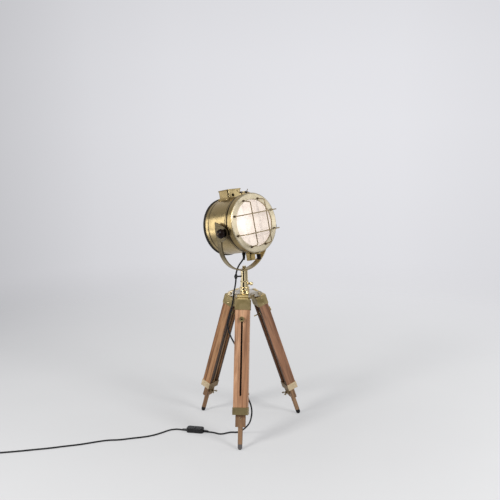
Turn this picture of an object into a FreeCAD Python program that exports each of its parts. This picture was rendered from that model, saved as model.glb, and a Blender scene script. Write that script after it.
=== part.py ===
import FreeCAD, Part
import math
import os

# Tripod spotlight floor lamp. Millimetres, Z up, front leg along -Y.
# Everything is built about the column axis and moved by OFFSET at the end.

V = FreeCAD.Vector
X_AXIS = V(1, 0, 0)
Y_AXIS = V(0, 1, 0)
Z_AXIS = V(0, 0, 1)

# ---- whole lamp
OFFSET = V(0, 0, 0)
RUN_FIT = 0.05          # radial clearance of a turning or sliding fit
SEAT = 0.3              # gap left between curved faces of different bodies
EPS = 1.0               # overrun of a cutting tool

# ---- legs
HINGE_RADIUS = 50.0
HINGE_Z = 521.0
LEG_SPREAD = 18.9
LEG_TURNS = {"front": 0.0, "right": 120.0, "left": 240.0}
WOOD_HALF_X = 26.0
WOOD_HALF_Y = 19.0
BOARD_BACK_Y = -7.0
RAIL_INNER_X = 18.0
WOOD_TOP = -13.0
WOOD_END = -424.0
CAP_WALL = 2.0
CAP_TOP = -11.0
CAP_END = -49.0
KNUCKLE_R = 9.5
KNUCKLE_HALF = 21.0
NECK_HALF_Y = 8.0
SLOT_HALF = 3.75
SLOT_TOP = -80.0
SLOT_END = -360.0
INNER_BACK_Y = 11.0
INNER_TOP = -70.0
INNER_SHOULDER = -470.0
PEG_R_TOP = 8.9
PEG_R_END = 8.5
PEG_SHORT = 12.0        # the peg stops this far above the foot ball centre
SPIGOT_R = 5.95
FOOT_R = 8.2
FOOT_BALL_Z = 7.2
COLLAR_TOP = -400.0
COLLAR_DEEP = 26.5
COLLAR_END = COLLAR_TOP - COLLAR_DEEP
COLLAR_TAB_HALF = 9.0
COLLAR_TAB_END = COLLAR_END - 22.5
WING_Z = COLLAR_END - 13.5
KNOB_Z = SLOT_TOP - SLOT_HALF
KNOB_R = 9.5
KNOB_OUT = 10.0
STUD_R = 3.5
STUD_NUT_R = 6.0
STUD_TAIL_R = 2.2
STUD_TAIL = 26.0

# ---- hub
HUB_TOP = 530.0
HUB_THICK = 8.0
LUG_RADIUS = 38.0
LUG_NOTCH_R = 40.0
LUG_NOTCH_AT = 76.0
EAR_INNER = 21.3
EAR_THICK = 5.0
EAR_R = 10.0
EAR_ROOT = 30.0
BOLT_R = 4.0
BOLT_HEAD_R = 7.0
BOLT_HEAD = 5.0
SOCKET_BASE_R = 18.3
SOCKET_BASE_TOP = 547.0
SOCKET_NECK_R = 14.8
SOCKET_TOP = 572.0
POLE_R = 13.2
COLUMN_SCREW_Z = 560.0
COLUMN_SCREW_R = 2.5
COLUMN_BALL_AT = 26.0
COLUMN_BALL_R = 6.8
COLUMN_NECK_R = 4.2

# ---- yoke
PAN = 49.5              # head direction, degrees from -Y toward +X
YOKE_Z = 730.0
STRAP_HALF = 11.0
STRAP_THICK = 5.0
PIVOT_Z = 767.0
PIVOT_FORWARD = 22.0
NUT_AF = 13.0
NUT_HIGH = 14.0
YOKE_BOLT_R = 4.0

# ---- head, in its own frame: face toward -Y, pivot at the origin
TILT = 11.0
DRUM_UP = 22.0
RING_FRONT = -45.0
RIM_BACK = 121.0
DRUM_R = 105.0
DRUM_WALL = 1.5
YOKE_R = DRUM_R + 11.0
RING_R = DRUM_R + 5.5
RING_FACE = 24.5
RING_HOLE_R = RING_R - RING_FACE
RING_THICK = 4.0
SKIRT_DEEP = 30.0
SKIRT_WALL = 2.0
GLASS_R = RING_R - 15.5
GLASS_THICK = 4.0
RIM_R = DRUM_R + 3.5
RIM_THICK = 3.0
GUARD_ROD_R = 2.0
GUARD_STAND = 38.0
GUARD_AT = 35.0
GUARD_FOOT_H = RING_R - 19.5
GUARD_FOOT_V = RING_R - 26.0
GUARD_ROLL = -2.5
GUARD_BEND_R = 8.0
DOOR_PIN_BACK = 38.0
DOOR_PIN_R = 1.5
DOOR_PIN_UP = RING_R + 6.5
VENT_FRONT = 40.0
VENT_BACK = 95.0
VENT_HALF = 32.0
VENT_CURB = 3.0
VENT_WALL = 2.0
VENT_ROUND = 6.0
VENT_LOW = DRUM_R - 21.0
VENT_TOP = DRUM_R + 31.5
VENT_LID = 4.5
VENT_HOLE_R = 6.0
VENT_HOLE_X = -9.0
VENT_HOLE_UP = DRUM_R + 9.0
LATCH_DEPTH = (36.0, 61.0)
LATCH_HALF = 12.0
LATCH_LOW = RING_R + 25.5
LATCH_SCREW_DEPTH = 5.0
LATCH_SCREW_R = 7.5
LATCH_SCREW_LONG = 20.0
TONGUE_OUT = 1.5        # how far the door's latch tongue stands out of its skirt
TONGUE_THICK = 3.0
LATCH_GAP = 0.3
GLAND_Z = PIVOT_Z + DRUM_UP - DRUM_R - 12.5
SPLIT_GLAND_R = 5.0
PIVOT_STUD_R = 5.0
BOSS_R = 13.0
ARM_INNER = YOKE_R - STRAP_THICK / 2.0
ARM_OUTER = YOKE_R + STRAP_THICK / 2.0

# ---- cord
CORD_R = 3.0
GLAND_R = 7.0
CLIP_BEND = V(-30.0, -9.0, 600.0)
CLIP_END = V(-31.0, -9.5, 579.0)
CLIP_R = 7.2
CLIP_AT = V(22.0, 22.1, -354.0)
CLIP_HALF_Z = 4.0
SWITCH_RIGHT = V(-155.9, -93.2, 0)
SWITCH_LEFT = V(-221.2, -86.5, 0)
SWITCH_HALF_W = 14.0
SWITCH_H = 18.0
ROCKER_R = 8.6
ROCKER_HALF = 6.0
ROCKER_Z = 11.0
ROCKER_TILT = 7.0
COIL_LEAD = 70.0        # straight cord between the last chosen point and the coil
COIL_INNER_R = 25.0
COIL_PITCH = 7.2
COIL_LIFT = 6.5
COIL_RISE_TURN = 0.25   # share of a turn in which the cord climbs to the upper layer
COIL_WHOLE_TURNS = 4
COIL_STEPS = 8
COIL_STRAIGHT = 2 * CORD_R
COIL_LEAVES = 270.0     # heading of the cord where it leaves the coil, degrees
COIL_TAIL = 42.0
PLUG_HALF_W = 17.6
PLUG_THICK = 13.7
PLUG_RELIEF = 16.0
PLUG_LONG = 34.0
PIN_R = 2.0
PIN_PITCH = 18.6
PIN_LONG = 19.0

NODES = {}


# ---------------------------------------------------------------- helpers
def span(x0, x1, y0, y1, z0, z1):
    return Part.makeBox(x1 - x0, y1 - y0, z1 - z0, V(x0, y0, z0))


def rod(start, end, radius):
    return Part.makeCylinder(radius, (end - start).Length, start, end - start)


def cone(start, end, radius_start, radius_end):
    return Part.makeCone(radius_start, radius_end, (end - start).Length, start, end - start)


def pipe(start, end, outer, inner):
    along = (end - start).normalize() * EPS
    return rod(start, end, outer).cut(rod(start - along, end + along, inner))


def joined(shapes):
    whole = shapes[0]
    for shape in shapes[1:]:
        whole = whole.fuse(shape)
    return whole.removeSplitter()


def prism(points, start, along):
    wire = Part.makePolygon(points + [points[0]])
    face = Part.Face(wire)
    face.translate(start)
    return face.extrude(along)


def turned(profile, base, axis):
    face = Part.Face(Part.makePolygon(profile + [profile[0]]))
    return face.revolve(base, axis, 360)


def slot_solid(half, z_top, z_end, y0, y1):
    body = span(-half, half, y0, y1, z_end, z_top)
    caps = [rod(V(0, y0, z), V(0, y1, z), half) for z in (z_top, z_end)]
    return joined([body] + caps)


def bent_path(points, radius=None):
    """Wire of straight runs joined by tangent arcs."""
    edges = []
    radii = []
    here = points[0]
    for before, corner, after in zip(points, points[1:], points[2:]):
        back = before - corner
        ahead = after - corner
        half_turn = (math.pi - back.getAngle(ahead)) / 2.0
        shorter = min(back.Length, ahead.Length)
        bend = radius or 0.45 * shorter / math.tan(half_turn)
        reach = bend * math.tan(half_turn)
        enter = corner + back.normalize() * reach
        leave = corner + ahead.normalize() * reach
        toward = (enter + leave) * 0.5 - corner
        depth = bend / math.cos(half_turn) - bend
        middle = corner + toward.normalize() * depth
        edges.append(Part.LineSegment(here, enter).toShape())
        edges.append(Part.Arc(enter, middle, leave).toShape())
        radii.append(bend)
        here = leave
    edges.append(Part.LineSegment(here, points[-1]).toShape())
    return Part.Wire(edges), radii


def tube_along(wire, start, direction, radius):
    ring = Part.Wire([Part.makeCircle(radius, start, direction)])
    return wire.makePipeShell([ring], True, False)


def bent_rod(points, radius, bend=None):
    wire, radii = bent_path(points, bend)
    return tube_along(wire, points[0], points[1] - points[0], radius)


def cord(name, points):
    wire, radii = bent_path(points)
    solid = tube_along(wire, points[0], points[1] - points[0], CORD_R)
    ideal = wire.Length * math.pi * CORD_R ** 2
    print("%s length %.1f least bend %.1f volume %.4f of ideal, valid %s" % (
        name, wire.Length, min(radii or [0]), solid.Volume / ideal, solid.isValid()))
    NODES[name] = [solid]
    return wire.Length


def place(shape, steps):
    """A copy of the shape moved by each placement in turn."""
    out = shape.copy()
    for step in steps:
        out.Placement = step.multiply(out.Placement)
    return out


def turn(axis, angle):
    return FreeCAD.Placement(V(0, 0, 0), FreeCAD.Rotation(axis, angle))


def shift(vector):
    return FreeCAD.Placement(vector, FreeCAD.Rotation())


def leg_steps(leg):
    lift = shift(V(0, -HINGE_RADIUS, HINGE_Z))
    return [turn(X_AXIS, -LEG_SPREAD), lift, turn(Z_AXIS, LEG_TURNS[leg])]


def yoke_steps():
    return [turn(Z_AXIS, PAN)]


def head_steps():
    lift = shift(V(0, -PIVOT_FORWARD, PIVOT_Z))
    return [turn(X_AXIS, -TILT), lift, turn(Z_AXIS, PAN)]


def at(point, steps):
    out = V(point)
    for step in steps:
        out = step.multVec(out)
    return out


# ---------------------------------------------------------------- one leg
def leg_cap():
    knuckle = rod(V(-KNUCKLE_HALF, 0, 0), V(KNUCKLE_HALF, 0, 0), KNUCKLE_R)
    neck = span(-KNUCKLE_HALF, KNUCKLE_HALF, -NECK_HALF_Y, NECK_HALF_Y, CAP_TOP - EPS, 0)
    outer_x = WOOD_HALF_X + CAP_WALL
    outer_y = WOOD_HALF_Y + CAP_WALL
    shell = span(-outer_x, outer_x, -outer_y, outer_y, CAP_END, CAP_TOP)
    inside = span(-WOOD_HALF_X, WOOD_HALF_X, -WOOD_HALF_Y, WOOD_HALF_Y, CAP_END - EPS, WOOD_TOP)
    bore = rod(V(-KNUCKLE_HALF - EPS, 0, 0), V(KNUCKLE_HALF + EPS, 0, 0), BOLT_R + RUN_FIT)
    return joined([shell.cut(inside), neck, knuckle]).cut(bore)


def outer_leg():
    board = span(-WOOD_HALF_X, WOOD_HALF_X, -WOOD_HALF_Y, BOARD_BACK_Y, WOOD_END, WOOD_TOP)
    right = span(RAIL_INNER_X, WOOD_HALF_X, BOARD_BACK_Y, WOOD_HALF_Y, WOOD_END, WOOD_TOP)
    left = span(-WOOD_HALF_X, -RAIL_INNER_X, BOARD_BACK_Y, WOOD_HALF_Y, WOOD_END, WOOD_TOP)
    slot = slot_solid(SLOT_HALF, SLOT_TOP - SLOT_HALF, SLOT_END + SLOT_HALF,
                      -WOOD_HALF_Y - EPS, BOARD_BACK_Y + EPS)
    return joined([board, right, left]).cut(slot)


def foot_reach():
    """Distance down the leg from the hinge to the centre of the foot ball."""
    spread = math.radians(LEG_SPREAD)
    centre_y = (BOARD_BACK_Y + INNER_BACK_Y) / 2.0
    return (HINGE_Z - FOOT_BALL_Z - centre_y * math.sin(spread)) / math.cos(spread)


def inner_leg():
    half = RAIL_INNER_X - RUN_FIT
    front = BOARD_BACK_Y + RUN_FIT
    centre_y = (BOARD_BACK_Y + INNER_BACK_Y) / 2.0
    bar = span(-half, half, front, INNER_BACK_Y, INNER_SHOULDER, INNER_TOP)
    end = -foot_reach() + PEG_SHORT
    peg = cone(V(0, centre_y, INNER_SHOULDER + EPS), V(0, centre_y, end), PEG_R_TOP, PEG_R_END)
    spigot = rod(V(0, centre_y, end + EPS), V(0, centre_y, end - PEG_SHORT / 2.0), SPIGOT_R)
    bore = rod(V(0, front - EPS, KNOB_Z), V(0, INNER_BACK_Y + EPS, KNOB_Z), STUD_R + RUN_FIT)
    return joined([bar, peg, spigot]).cut(bore)


def rubber_foot():
    centre_y = (BOARD_BACK_Y + INNER_BACK_Y) / 2.0
    reach = foot_reach()
    end = -reach + PEG_SHORT
    ball = Part.makeSphere(FOOT_R, V(0, centre_y, -reach))
    sleeve = rod(V(0, centre_y, -reach), V(0, centre_y, end), FOOT_R)
    socket = rod(V(0, centre_y, end + EPS), V(0, centre_y, end - PEG_SHORT / 2.0), SPIGOT_R)
    return joined([ball, sleeve]).cut(socket)


def leg_collar():
    outer_x = WOOD_HALF_X + CAP_WALL
    outer_y = WOOD_HALF_Y + CAP_WALL
    band = span(-outer_x, outer_x, -outer_y, outer_y, COLLAR_END, COLLAR_TOP)
    hole = span(-WOOD_HALF_X, WOOD_HALF_X, -WOOD_HALF_Y, WOOD_HALF_Y,
                COLLAR_END - EPS, COLLAR_TOP + EPS)
    guide = span(-COLLAR_TAB_HALF, COLLAR_TAB_HALF, INNER_BACK_Y + RUN_FIT, outer_y,
                 COLLAR_END, COLLAR_TOP)
    tab = span(-COLLAR_TAB_HALF, COLLAR_TAB_HALF, INNER_BACK_Y + RUN_FIT, outer_y,
               COLLAR_TAB_END, COLLAR_END)
    bore = rod(V(0, 0, WING_Z), V(0, outer_y + EPS, WING_Z), COLUMN_SCREW_R + RUN_FIT)
    return joined([band.cut(hole), guide, tab]).cut(bore)


def wing_screw():
    face = WOOD_HALF_Y + CAP_WALL
    shank = rod(V(0, INNER_BACK_Y + 2 * RUN_FIT, WING_Z), V(0, face + 4, WING_Z), COLUMN_SCREW_R)
    boss = rod(V(0, face + RUN_FIT, WING_Z), V(0, face + 7, WING_Z), 5.0)
    wings = []
    for side in (-1, 1):
        inner = V(side * 3.0, face + 4, WING_Z)
        outer = V(side * 9.0, face + 8, WING_Z)
        wings.append(rod(inner, outer, 1.6))
        wings.append(Part.makeTorus(3.6, 1.5, outer + V(side * 1.5, 3.0, 0), Z_AXIS))
    return joined([shank, boss] + wings)


def leg_knob():
    face = -WOOD_HALF_Y - RUN_FIT
    disc = rod(V(0, face - KNOB_OUT, KNOB_Z), V(0, face, KNOB_Z), KNOB_R)
    dish = rod(V(0, face - KNOB_OUT - EPS, KNOB_Z), V(0, face - KNOB_OUT + 2, KNOB_Z), KNOB_R - 3)
    nut_face = INNER_BACK_Y + RUN_FIT
    stud = rod(V(0, face - 5, KNOB_Z), V(0, nut_face + 3, KNOB_Z), STUD_R)
    nut = rod(V(0, nut_face, KNOB_Z), V(0, nut_face + 5, KNOB_Z), STUD_NUT_R)
    tail = rod(V(0, nut_face, KNOB_Z), V(0, nut_face + 5 + STUD_TAIL, KNOB_Z), STUD_TAIL_R)
    return joined([disc.cut(dish), stud, nut, tail])


def build_legs():
    makers = {"leg_cap": leg_cap, "outer_leg": outer_leg, "inner_leg": inner_leg,
              "leg_collar": leg_collar, "leg_knob": leg_knob, "wing_screw": wing_screw,
              "rubber_foot": rubber_foot}
    above_floor = span(-900, 900, -900, 900, 0, 900)
    for name, maker in makers.items():
        shape = maker()
        for leg in LEG_TURNS:
            placed = place(shape, leg_steps(leg))
            if name == "rubber_foot":
                placed = placed.common(above_floor)
            NODES[name + "_" + leg] = placed.Solids


# ---------------------------------------------------------------- hub and column
def ear_pair():
    ears = []
    for side in (-1, 1):
        x0 = min(side * EAR_INNER, side * (EAR_INNER + EAR_THICK))
        x1 = x0 + EAR_THICK
        disc = rod(V(x0, -HINGE_RADIUS, HINGE_Z), V(x1, -HINGE_RADIUS, HINGE_Z), EAR_R)
        web = span(x0, x1, -HINGE_RADIUS, -EAR_ROOT, HINGE_Z - EAR_R, HUB_TOP - HUB_THICK + EPS)
        rise = span(x0, x1, -HINGE_RADIUS, -EAR_ROOT, HUB_TOP - HUB_THICK, HUB_TOP)
        ears.append(joined([disc, web, rise]))
    return ears


def hub_plate():
    bottom = HUB_TOP - HUB_THICK
    plate = rod(V(0, 0, bottom), V(0, 0, HUB_TOP), LUG_RADIUS + 12)
    for leg_turn in LEG_TURNS.values():
        notch = rod(V(0, LUG_NOTCH_AT, bottom - EPS), V(0, LUG_NOTCH_AT, HUB_TOP + EPS), LUG_NOTCH_R)
        face_cut = span(-200, 200, -200, -LUG_RADIUS, bottom - EPS, HUB_TOP + EPS)
        plate = plate.cut(place(notch, [turn(Z_AXIS, leg_turn)]))
        plate = plate.cut(place(face_cut, [turn(Z_AXIS, leg_turn)]))
    pieces = [plate]
    for leg_turn in LEG_TURNS.values():
        for ear in ear_pair():
            pieces.append(place(ear, [turn(Z_AXIS, leg_turn)]))
    hub = joined(pieces)
    reach = EAR_INNER + EAR_THICK + EPS
    for leg_turn in LEG_TURNS.values():
        bore = rod(V(-reach, -HINGE_RADIUS, HINGE_Z), V(reach, -HINGE_RADIUS, HINGE_Z), BOLT_R)
        hub = hub.cut(place(bore, [turn(Z_AXIS, leg_turn)]))
    return hub


def hinge_bolt():
    reach = EAR_INNER + EAR_THICK
    shank = rod(V(-reach, -HINGE_RADIUS, HINGE_Z), V(reach, -HINGE_RADIUS, HINGE_Z), BOLT_R)
    heads = []
    for side in (-1, 1):
        start = V(side * reach, -HINGE_RADIUS, HINGE_Z)
        heads.append(rod(start, start + V(side * BOLT_HEAD, 0, 0), BOLT_HEAD_R))
    return joined([shank] + heads)


def column_socket():
    base = rod(V(0, 0, HUB_TOP), V(0, 0, SOCKET_BASE_TOP), SOCKET_BASE_R)
    neck = rod(V(0, 0, SOCKET_BASE_TOP - EPS), V(0, 0, SOCKET_TOP), SOCKET_NECK_R)
    bore = rod(V(0, 0, HUB_TOP - EPS), V(0, 0, SOCKET_TOP + EPS), POLE_R + RUN_FIT)
    tap = rod(V(POLE_R - 1, 0, COLUMN_SCREW_Z), V(SOCKET_BASE_R + EPS, 0, COLUMN_SCREW_Z),
              COLUMN_SCREW_R + RUN_FIT)
    return joined([base, neck]).cut(bore).cut(tap)


def column_screw():
    shank = rod(V(POLE_R + 2 * RUN_FIT, 0, COLUMN_SCREW_Z), V(COLUMN_BALL_AT, 0, COLUMN_SCREW_Z),
                COLUMN_SCREW_R)
    neck = rod(V(SOCKET_NECK_R + RUN_FIT, 0, COLUMN_SCREW_Z), V(COLUMN_BALL_AT, 0, COLUMN_SCREW_Z),
               COLUMN_NECK_R)
    ball = Part.makeSphere(COLUMN_BALL_R, V(COLUMN_BALL_AT, 0, COLUMN_SCREW_Z))
    return joined([shank, neck, ball])


def yoke_outer_cylinder(radius, half):
    return rod(V(0, -half, YOKE_Z), V(0, half, YOKE_Z), radius)


def column_pole():
    pole = rod(V(0, 0, HUB_TOP + 2 * RUN_FIT), V(0, 0, YOKE_Z - YOKE_R), POLE_R)
    pole = pole.cut(yoke_outer_cylinder(ARM_OUTER, POLE_R * 2))
    bore = rod(V(0, 0, YOKE_Z - YOKE_R - 30), V(0, 0, YOKE_Z), YOKE_BOLT_R)
    return pole.cut(bore)


def yoke():
    hoop = yoke_outer_cylinder(ARM_OUTER, STRAP_HALF)
    hoop = hoop.cut(yoke_outer_cylinder(ARM_INNER, STRAP_HALF + EPS))
    hoop = hoop.cut(span(-200, 200, -60, 60, YOKE_Z, YOKE_Z + 200))
    outline = [V(0, -STRAP_HALF, YOKE_Z - EPS), V(0, -STRAP_HALF, YOKE_Z + 4),
               V(0, -24, YOKE_Z + 12), V(0, -38, YOKE_Z + 24), V(0, -44, YOKE_Z + 38),
               V(0, -40, YOKE_Z + 51), V(0, -28, YOKE_Z + 60), V(0, -8, YOKE_Z + 66),
               V(0, 14, YOKE_Z + 71), V(0, 24, YOKE_Z + 73), V(0, 22, YOKE_Z + 40),
               V(0, STRAP_HALF + 4, YOKE_Z + 12), V(0, STRAP_HALF, YOKE_Z + 2),
               V(0, STRAP_HALF, YOKE_Z - EPS)]
    pieces = [hoop]
    for side in (-1, 1):
        start = V(ARM_INNER if side > 0 else -ARM_OUTER, 0, 0)
        pieces.append(prism(outline, start, V(STRAP_THICK, 0, 0)))
    whole = joined(pieces)
    pivot = rod(V(-200, -PIVOT_FORWARD, PIVOT_Z), V(200, -PIVOT_FORWARD, PIVOT_Z),
                PIVOT_STUD_R + RUN_FIT)
    centre = rod(V(0, 0, YOKE_Z - 200), V(0, 0, YOKE_Z), YOKE_BOLT_R)
    return whole.cut(pivot).cut(centre)


def yoke_nut():
    seat = YOKE_Z - ARM_INNER
    nut_top = YOKE_Z - YOKE_R + NUT_HIGH
    corner = NUT_AF / math.sqrt(3.0)
    points = []
    for step in range(6):
        angle = math.radians(60.0 * step)
        points.append(V(corner * math.cos(angle), corner * math.sin(angle), 0))
    head = prism(points, V(0, 0, seat - 2), V(0, 0, nut_top - seat + 2))
    head = head.common(yoke_outer_cylinder(ARM_INNER, STRAP_HALF))
    shank = rod(V(0, 0, YOKE_Z - YOKE_R - 25), V(0, 0, nut_top - 2), YOKE_BOLT_R)
    return joined([head, shank])


def build_column():
    NODES["hub_plate"] = hub_plate().Solids
    bolts = []
    for leg_turn in LEG_TURNS.values():
        bolts.append(place(hinge_bolt(), [turn(Z_AXIS, leg_turn)]))
    NODES["hinge_bolts"] = bolts
    NODES["column_socket"] = column_socket().Solids
    NODES["column_screw"] = column_screw().Solids
    NODES["column_pole"] = place(column_pole(), yoke_steps()).Solids
    NODES["yoke"] = place(yoke(), yoke_steps()).Solids
    NODES["yoke_nut"] = place(yoke_nut(), yoke_steps()).Solids


# ---------------------------------------------------------------- head
def drum_point(x, y, z):
    """A point given about the drum axis, at depth y behind the ring face."""
    return V(x, RING_FRONT + y, DRUM_UP + z)


def about_drum(profile):
    """Turn (radius, depth) pairs about the drum axis."""
    points = [drum_point(radius, depth, 0) for radius, depth in profile]
    return turned(points, drum_point(0, 0, 0), Y_AXIS)


def inside_drum():
    return rod(drum_point(0, -20, 0), drum_point(0, 300, 0), DRUM_R)


def drum():
    back = RIM_BACK - RING_FRONT - RIM_THICK
    front = 8.0
    inner = DRUM_R - DRUM_WALL
    shell = [(inner, front), (DRUM_R, front), (DRUM_R, 33), (DRUM_R - 0.7, 34), (DRUM_R - 0.7, 36),
             (DRUM_R, 37), (DRUM_R, 44), (DRUM_R - 0.7, 45), (DRUM_R - 0.7, 47), (DRUM_R, 48),
             (DRUM_R, 138), (DRUM_R - 0.7, 139), (DRUM_R - 0.7, 141), (DRUM_R, 142),
             (DRUM_R, back), (inner, back)]
    body = about_drum(shell)
    stud = rod(V(-200, 0, 0), V(200, 0, 0), PIVOT_STUD_R)
    body = body.cut(stud)
    window = span(-VENT_HALF + 8, VENT_HALF - 8, VENT_FRONT - EPS + 8, VENT_BACK - 8,
                  DRUM_UP + DRUM_R - 45, DRUM_UP + DRUM_R + 10)
    body = body.cut(window)
    return body.cut(gland_shape(SPLIT_GLAND_R, 40))


def gland_place():
    """Gland mouth and direction in the head frame: straight over the column axis."""
    mouth = V(0, PIVOT_FORWARD, GLAND_Z - PIVOT_Z)
    tip = turn(X_AXIS, TILT).multVec(mouth)
    down = turn(X_AXIS, TILT).multVec(V(0, 0, -1))
    return tip, down


def gland_shape(radius, length):
    tip, down = gland_place()
    return rod(tip - down * length, tip, radius)


def cord_gland():
    tip, down = gland_place()
    outer = about_drum([(DRUM_R + 0.0, 20), (DRUM_R + 40, 20), (DRUM_R + 40, 150), (DRUM_R, 150)])
    barrel = rod(tip - down * 24, tip, GLAND_R).common(outer)
    neck = rod(tip - down * 24, tip - down * 4, SPLIT_GLAND_R)
    return joined([barrel, neck])


def back_cover():
    back = RIM_BACK - RING_FRONT - RIM_THICK
    inner = DRUM_R - DRUM_WALL
    profile = [(0, back - 2), (inner - 10, back - 5), (inner - 4, back - 8), (inner, back - 8),
               (inner, back), (inner - 2, back), (inner - 2, back - 6), (inner - 9, back - 3),
               (0, back)]
    return about_drum(profile)


def back_rim():
    back = RIM_BACK - RING_FRONT
    front = back - RIM_THICK
    profile = [(DRUM_R - 6, front), (RIM_R - 0.8, front), (RIM_R, front + 0.8),
               (RIM_R, back - 0.8), (RIM_R - 0.8, back), (DRUM_R - 6, back)]
    return about_drum(profile)


def door_ring(guard):
    skirt_in = RING_R - SKIRT_WALL
    profile = [(RING_HOLE_R, 1.5), (RING_HOLE_R + 1.5, 0), (RING_R - 4, 0), (RING_R - 1, 1.5),
               (RING_R, 4), (RING_R, SKIRT_DEEP), (skirt_in, SKIRT_DEEP), (skirt_in, RING_THICK),
               (RING_HOLE_R, RING_THICK)]
    ring = about_drum(profile)
    knuckles = []
    for x in (-12.0, 12.0):
        start = drum_point(x - 5, DOOR_PIN_BACK, DOOR_PIN_UP)
        barrel = rod(start, start + V(10, 0, 0), 3.4)
        leaf = prism([V(0, SKIRT_DEEP - 12, RING_R - 1.2), V(0, SKIRT_DEEP - 12, RING_R + 1.2),
                      V(0, DOOR_PIN_BACK - 1, DOOR_PIN_UP + 3.2), V(0, DOOR_PIN_BACK, DOOR_PIN_UP),
                      V(0, SKIRT_DEEP - 1, RING_R - 1.2)],
                     V(x - 5, RING_FRONT, DRUM_UP), V(10, 0, 0))
        knuckles.append(barrel)
        knuckles.append(leaf)
    tongue = span(-6, 6, RING_FRONT + 6, RING_FRONT + 26,
                  DRUM_UP - RING_R - TONGUE_OUT, DRUM_UP - RING_R + EPS)
    whole = joined([ring, tongue] + knuckles)
    hole = rod(drum_point(-30, DOOR_PIN_BACK, DOOR_PIN_UP), drum_point(30, DOOR_PIN_BACK, DOOR_PIN_UP),
               DOOR_PIN_R + RUN_FIT)
    return whole.cut(hole).cut(guard)


def door_glass():
    return rod(drum_point(0, RING_THICK, 0), drum_point(0, RING_THICK + GLASS_THICK, 0), GLASS_R)


def glass_seal():
    outer = GLASS_R + 3.0
    profile = [(GLASS_R, RING_THICK), (outer, RING_THICK), (outer, RING_THICK + GLASS_THICK + 1.5),
               (GLASS_R - 4, RING_THICK + GLASS_THICK + 1.5), (GLASS_R - 4, RING_THICK + GLASS_THICK),
               (GLASS_R, RING_THICK + GLASS_THICK)]
    return about_drum(profile)


def roll_steps():
    centre = drum_point(0, 0, 0)
    return [shift(V(0, 0, 0) - centre), turn(Y_AXIS, GUARD_ROLL), shift(centre)]


def guard_feet():
    feet = []
    for side in (-1, 1):
        for end in (-1, 1):
            feet.append(drum_point(end * GUARD_FOOT_H, 0, side * GUARD_AT))
            feet.append(drum_point(side * GUARD_AT, 0, end * GUARD_FOOT_V))
    return [at(foot, roll_steps()) for foot in feet]


def guard_hoop(foot_half, stand, level, upright):
    sole = RING_THICK
    inset = 6.0
    corners = [(-foot_half, sole), (-foot_half + inset, -stand), (foot_half - inset, -stand),
               (foot_half, sole)]
    points = []
    for along, depth in corners:
        if upright:
            points.append(drum_point(level, depth, along))
        else:
            points.append(drum_point(along, depth, level))
    return bent_rod(points, GUARD_ROD_R, GUARD_BEND_R)


def guard_cage():
    rods = []
    for level in (-GUARD_AT, GUARD_AT):
        rods.append(guard_hoop(GUARD_FOOT_H, GUARD_STAND, level, False))
        rods.append(guard_hoop(GUARD_FOOT_V, GUARD_STAND - 2 * GUARD_ROD_R + 0.6, level, True))
    front = rod(drum_point(0, -GUARD_STAND * 2, 0), drum_point(0, RING_THICK, 0), RING_R)
    return place(joined(rods), roll_steps()).common(front)


def guard_nuts(guard):
    nuts = []
    for foot in guard_feet():
        nut = rod(foot - V(0, 3.0, 0), foot, 4.2)
        nuts.append(nut.cut(guard))
    return nuts


def hinge_bracket():
    foot = [V(0, DOOR_PIN_BACK - 3, DRUM_R - 3), V(0, DOOR_PIN_BACK + 16, DRUM_R - 3),
            V(0, DOOR_PIN_BACK + 16, DRUM_R + 2), V(0, DOOR_PIN_BACK + 4, DOOR_PIN_UP + 3),
            V(0, DOOR_PIN_BACK - 2.5, DOOR_PIN_UP + 3), V(0, DOOR_PIN_BACK - 3, DOOR_PIN_UP - 4)]
    block = prism(foot, V(-6.8, RING_FRONT, DRUM_UP), V(13.6, 0, 0))
    hole = rod(drum_point(-30, DOOR_PIN_BACK, DOOR_PIN_UP), drum_point(30, DOOR_PIN_BACK, DOOR_PIN_UP),
               DOOR_PIN_R)
    return block.cut(inside_drum()).cut(hole)


def hinge_pin():
    middle = [drum_point(-18, DOOR_PIN_BACK, DOOR_PIN_UP), drum_point(18, DOOR_PIN_BACK, DOOR_PIN_UP)]
    left = [drum_point(-18, DOOR_PIN_BACK, DOOR_PIN_UP), drum_point(-27, DOOR_PIN_BACK + 3, DOOR_PIN_UP + 10)]
    right = [drum_point(18, DOOR_PIN_BACK, DOOR_PIN_UP), drum_point(27, DOOR_PIN_BACK + 3, DOOR_PIN_UP + 10)]
    wires = [rod(start, end, DOOR_PIN_R) for start, end in (middle, left, right)]
    elbows = [Part.makeSphere(DOOR_PIN_R, middle[0]), Part.makeSphere(DOOR_PIN_R, middle[1])]
    return joined(wires + elbows)


def latch_block():
    tongue_top = RING_R + TONGUE_OUT + LATCH_GAP
    front, back = LATCH_DEPTH
    body = span(-LATCH_HALF, LATCH_HALF, RING_FRONT + front, RING_FRONT + back,
                DRUM_UP - LATCH_LOW, DRUM_UP - DRUM_R + 6)
    body = body.makeFillet(2.5, [edge for edge in body.Edges if abs(edge.tangentAt(0).z) > 0.9])
    tongue = span(-8, 8, RING_FRONT - 3, RING_FRONT + front + EPS,
                  DRUM_UP - tongue_top - TONGUE_THICK, DRUM_UP - tongue_top)
    hole = rod(drum_point(0, LATCH_SCREW_DEPTH, -LATCH_LOW), drum_point(0, LATCH_SCREW_DEPTH, -DRUM_R),
               COLUMN_SCREW_R)
    return joined([body.cut(inside_drum()), tongue]).cut(hole)


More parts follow.
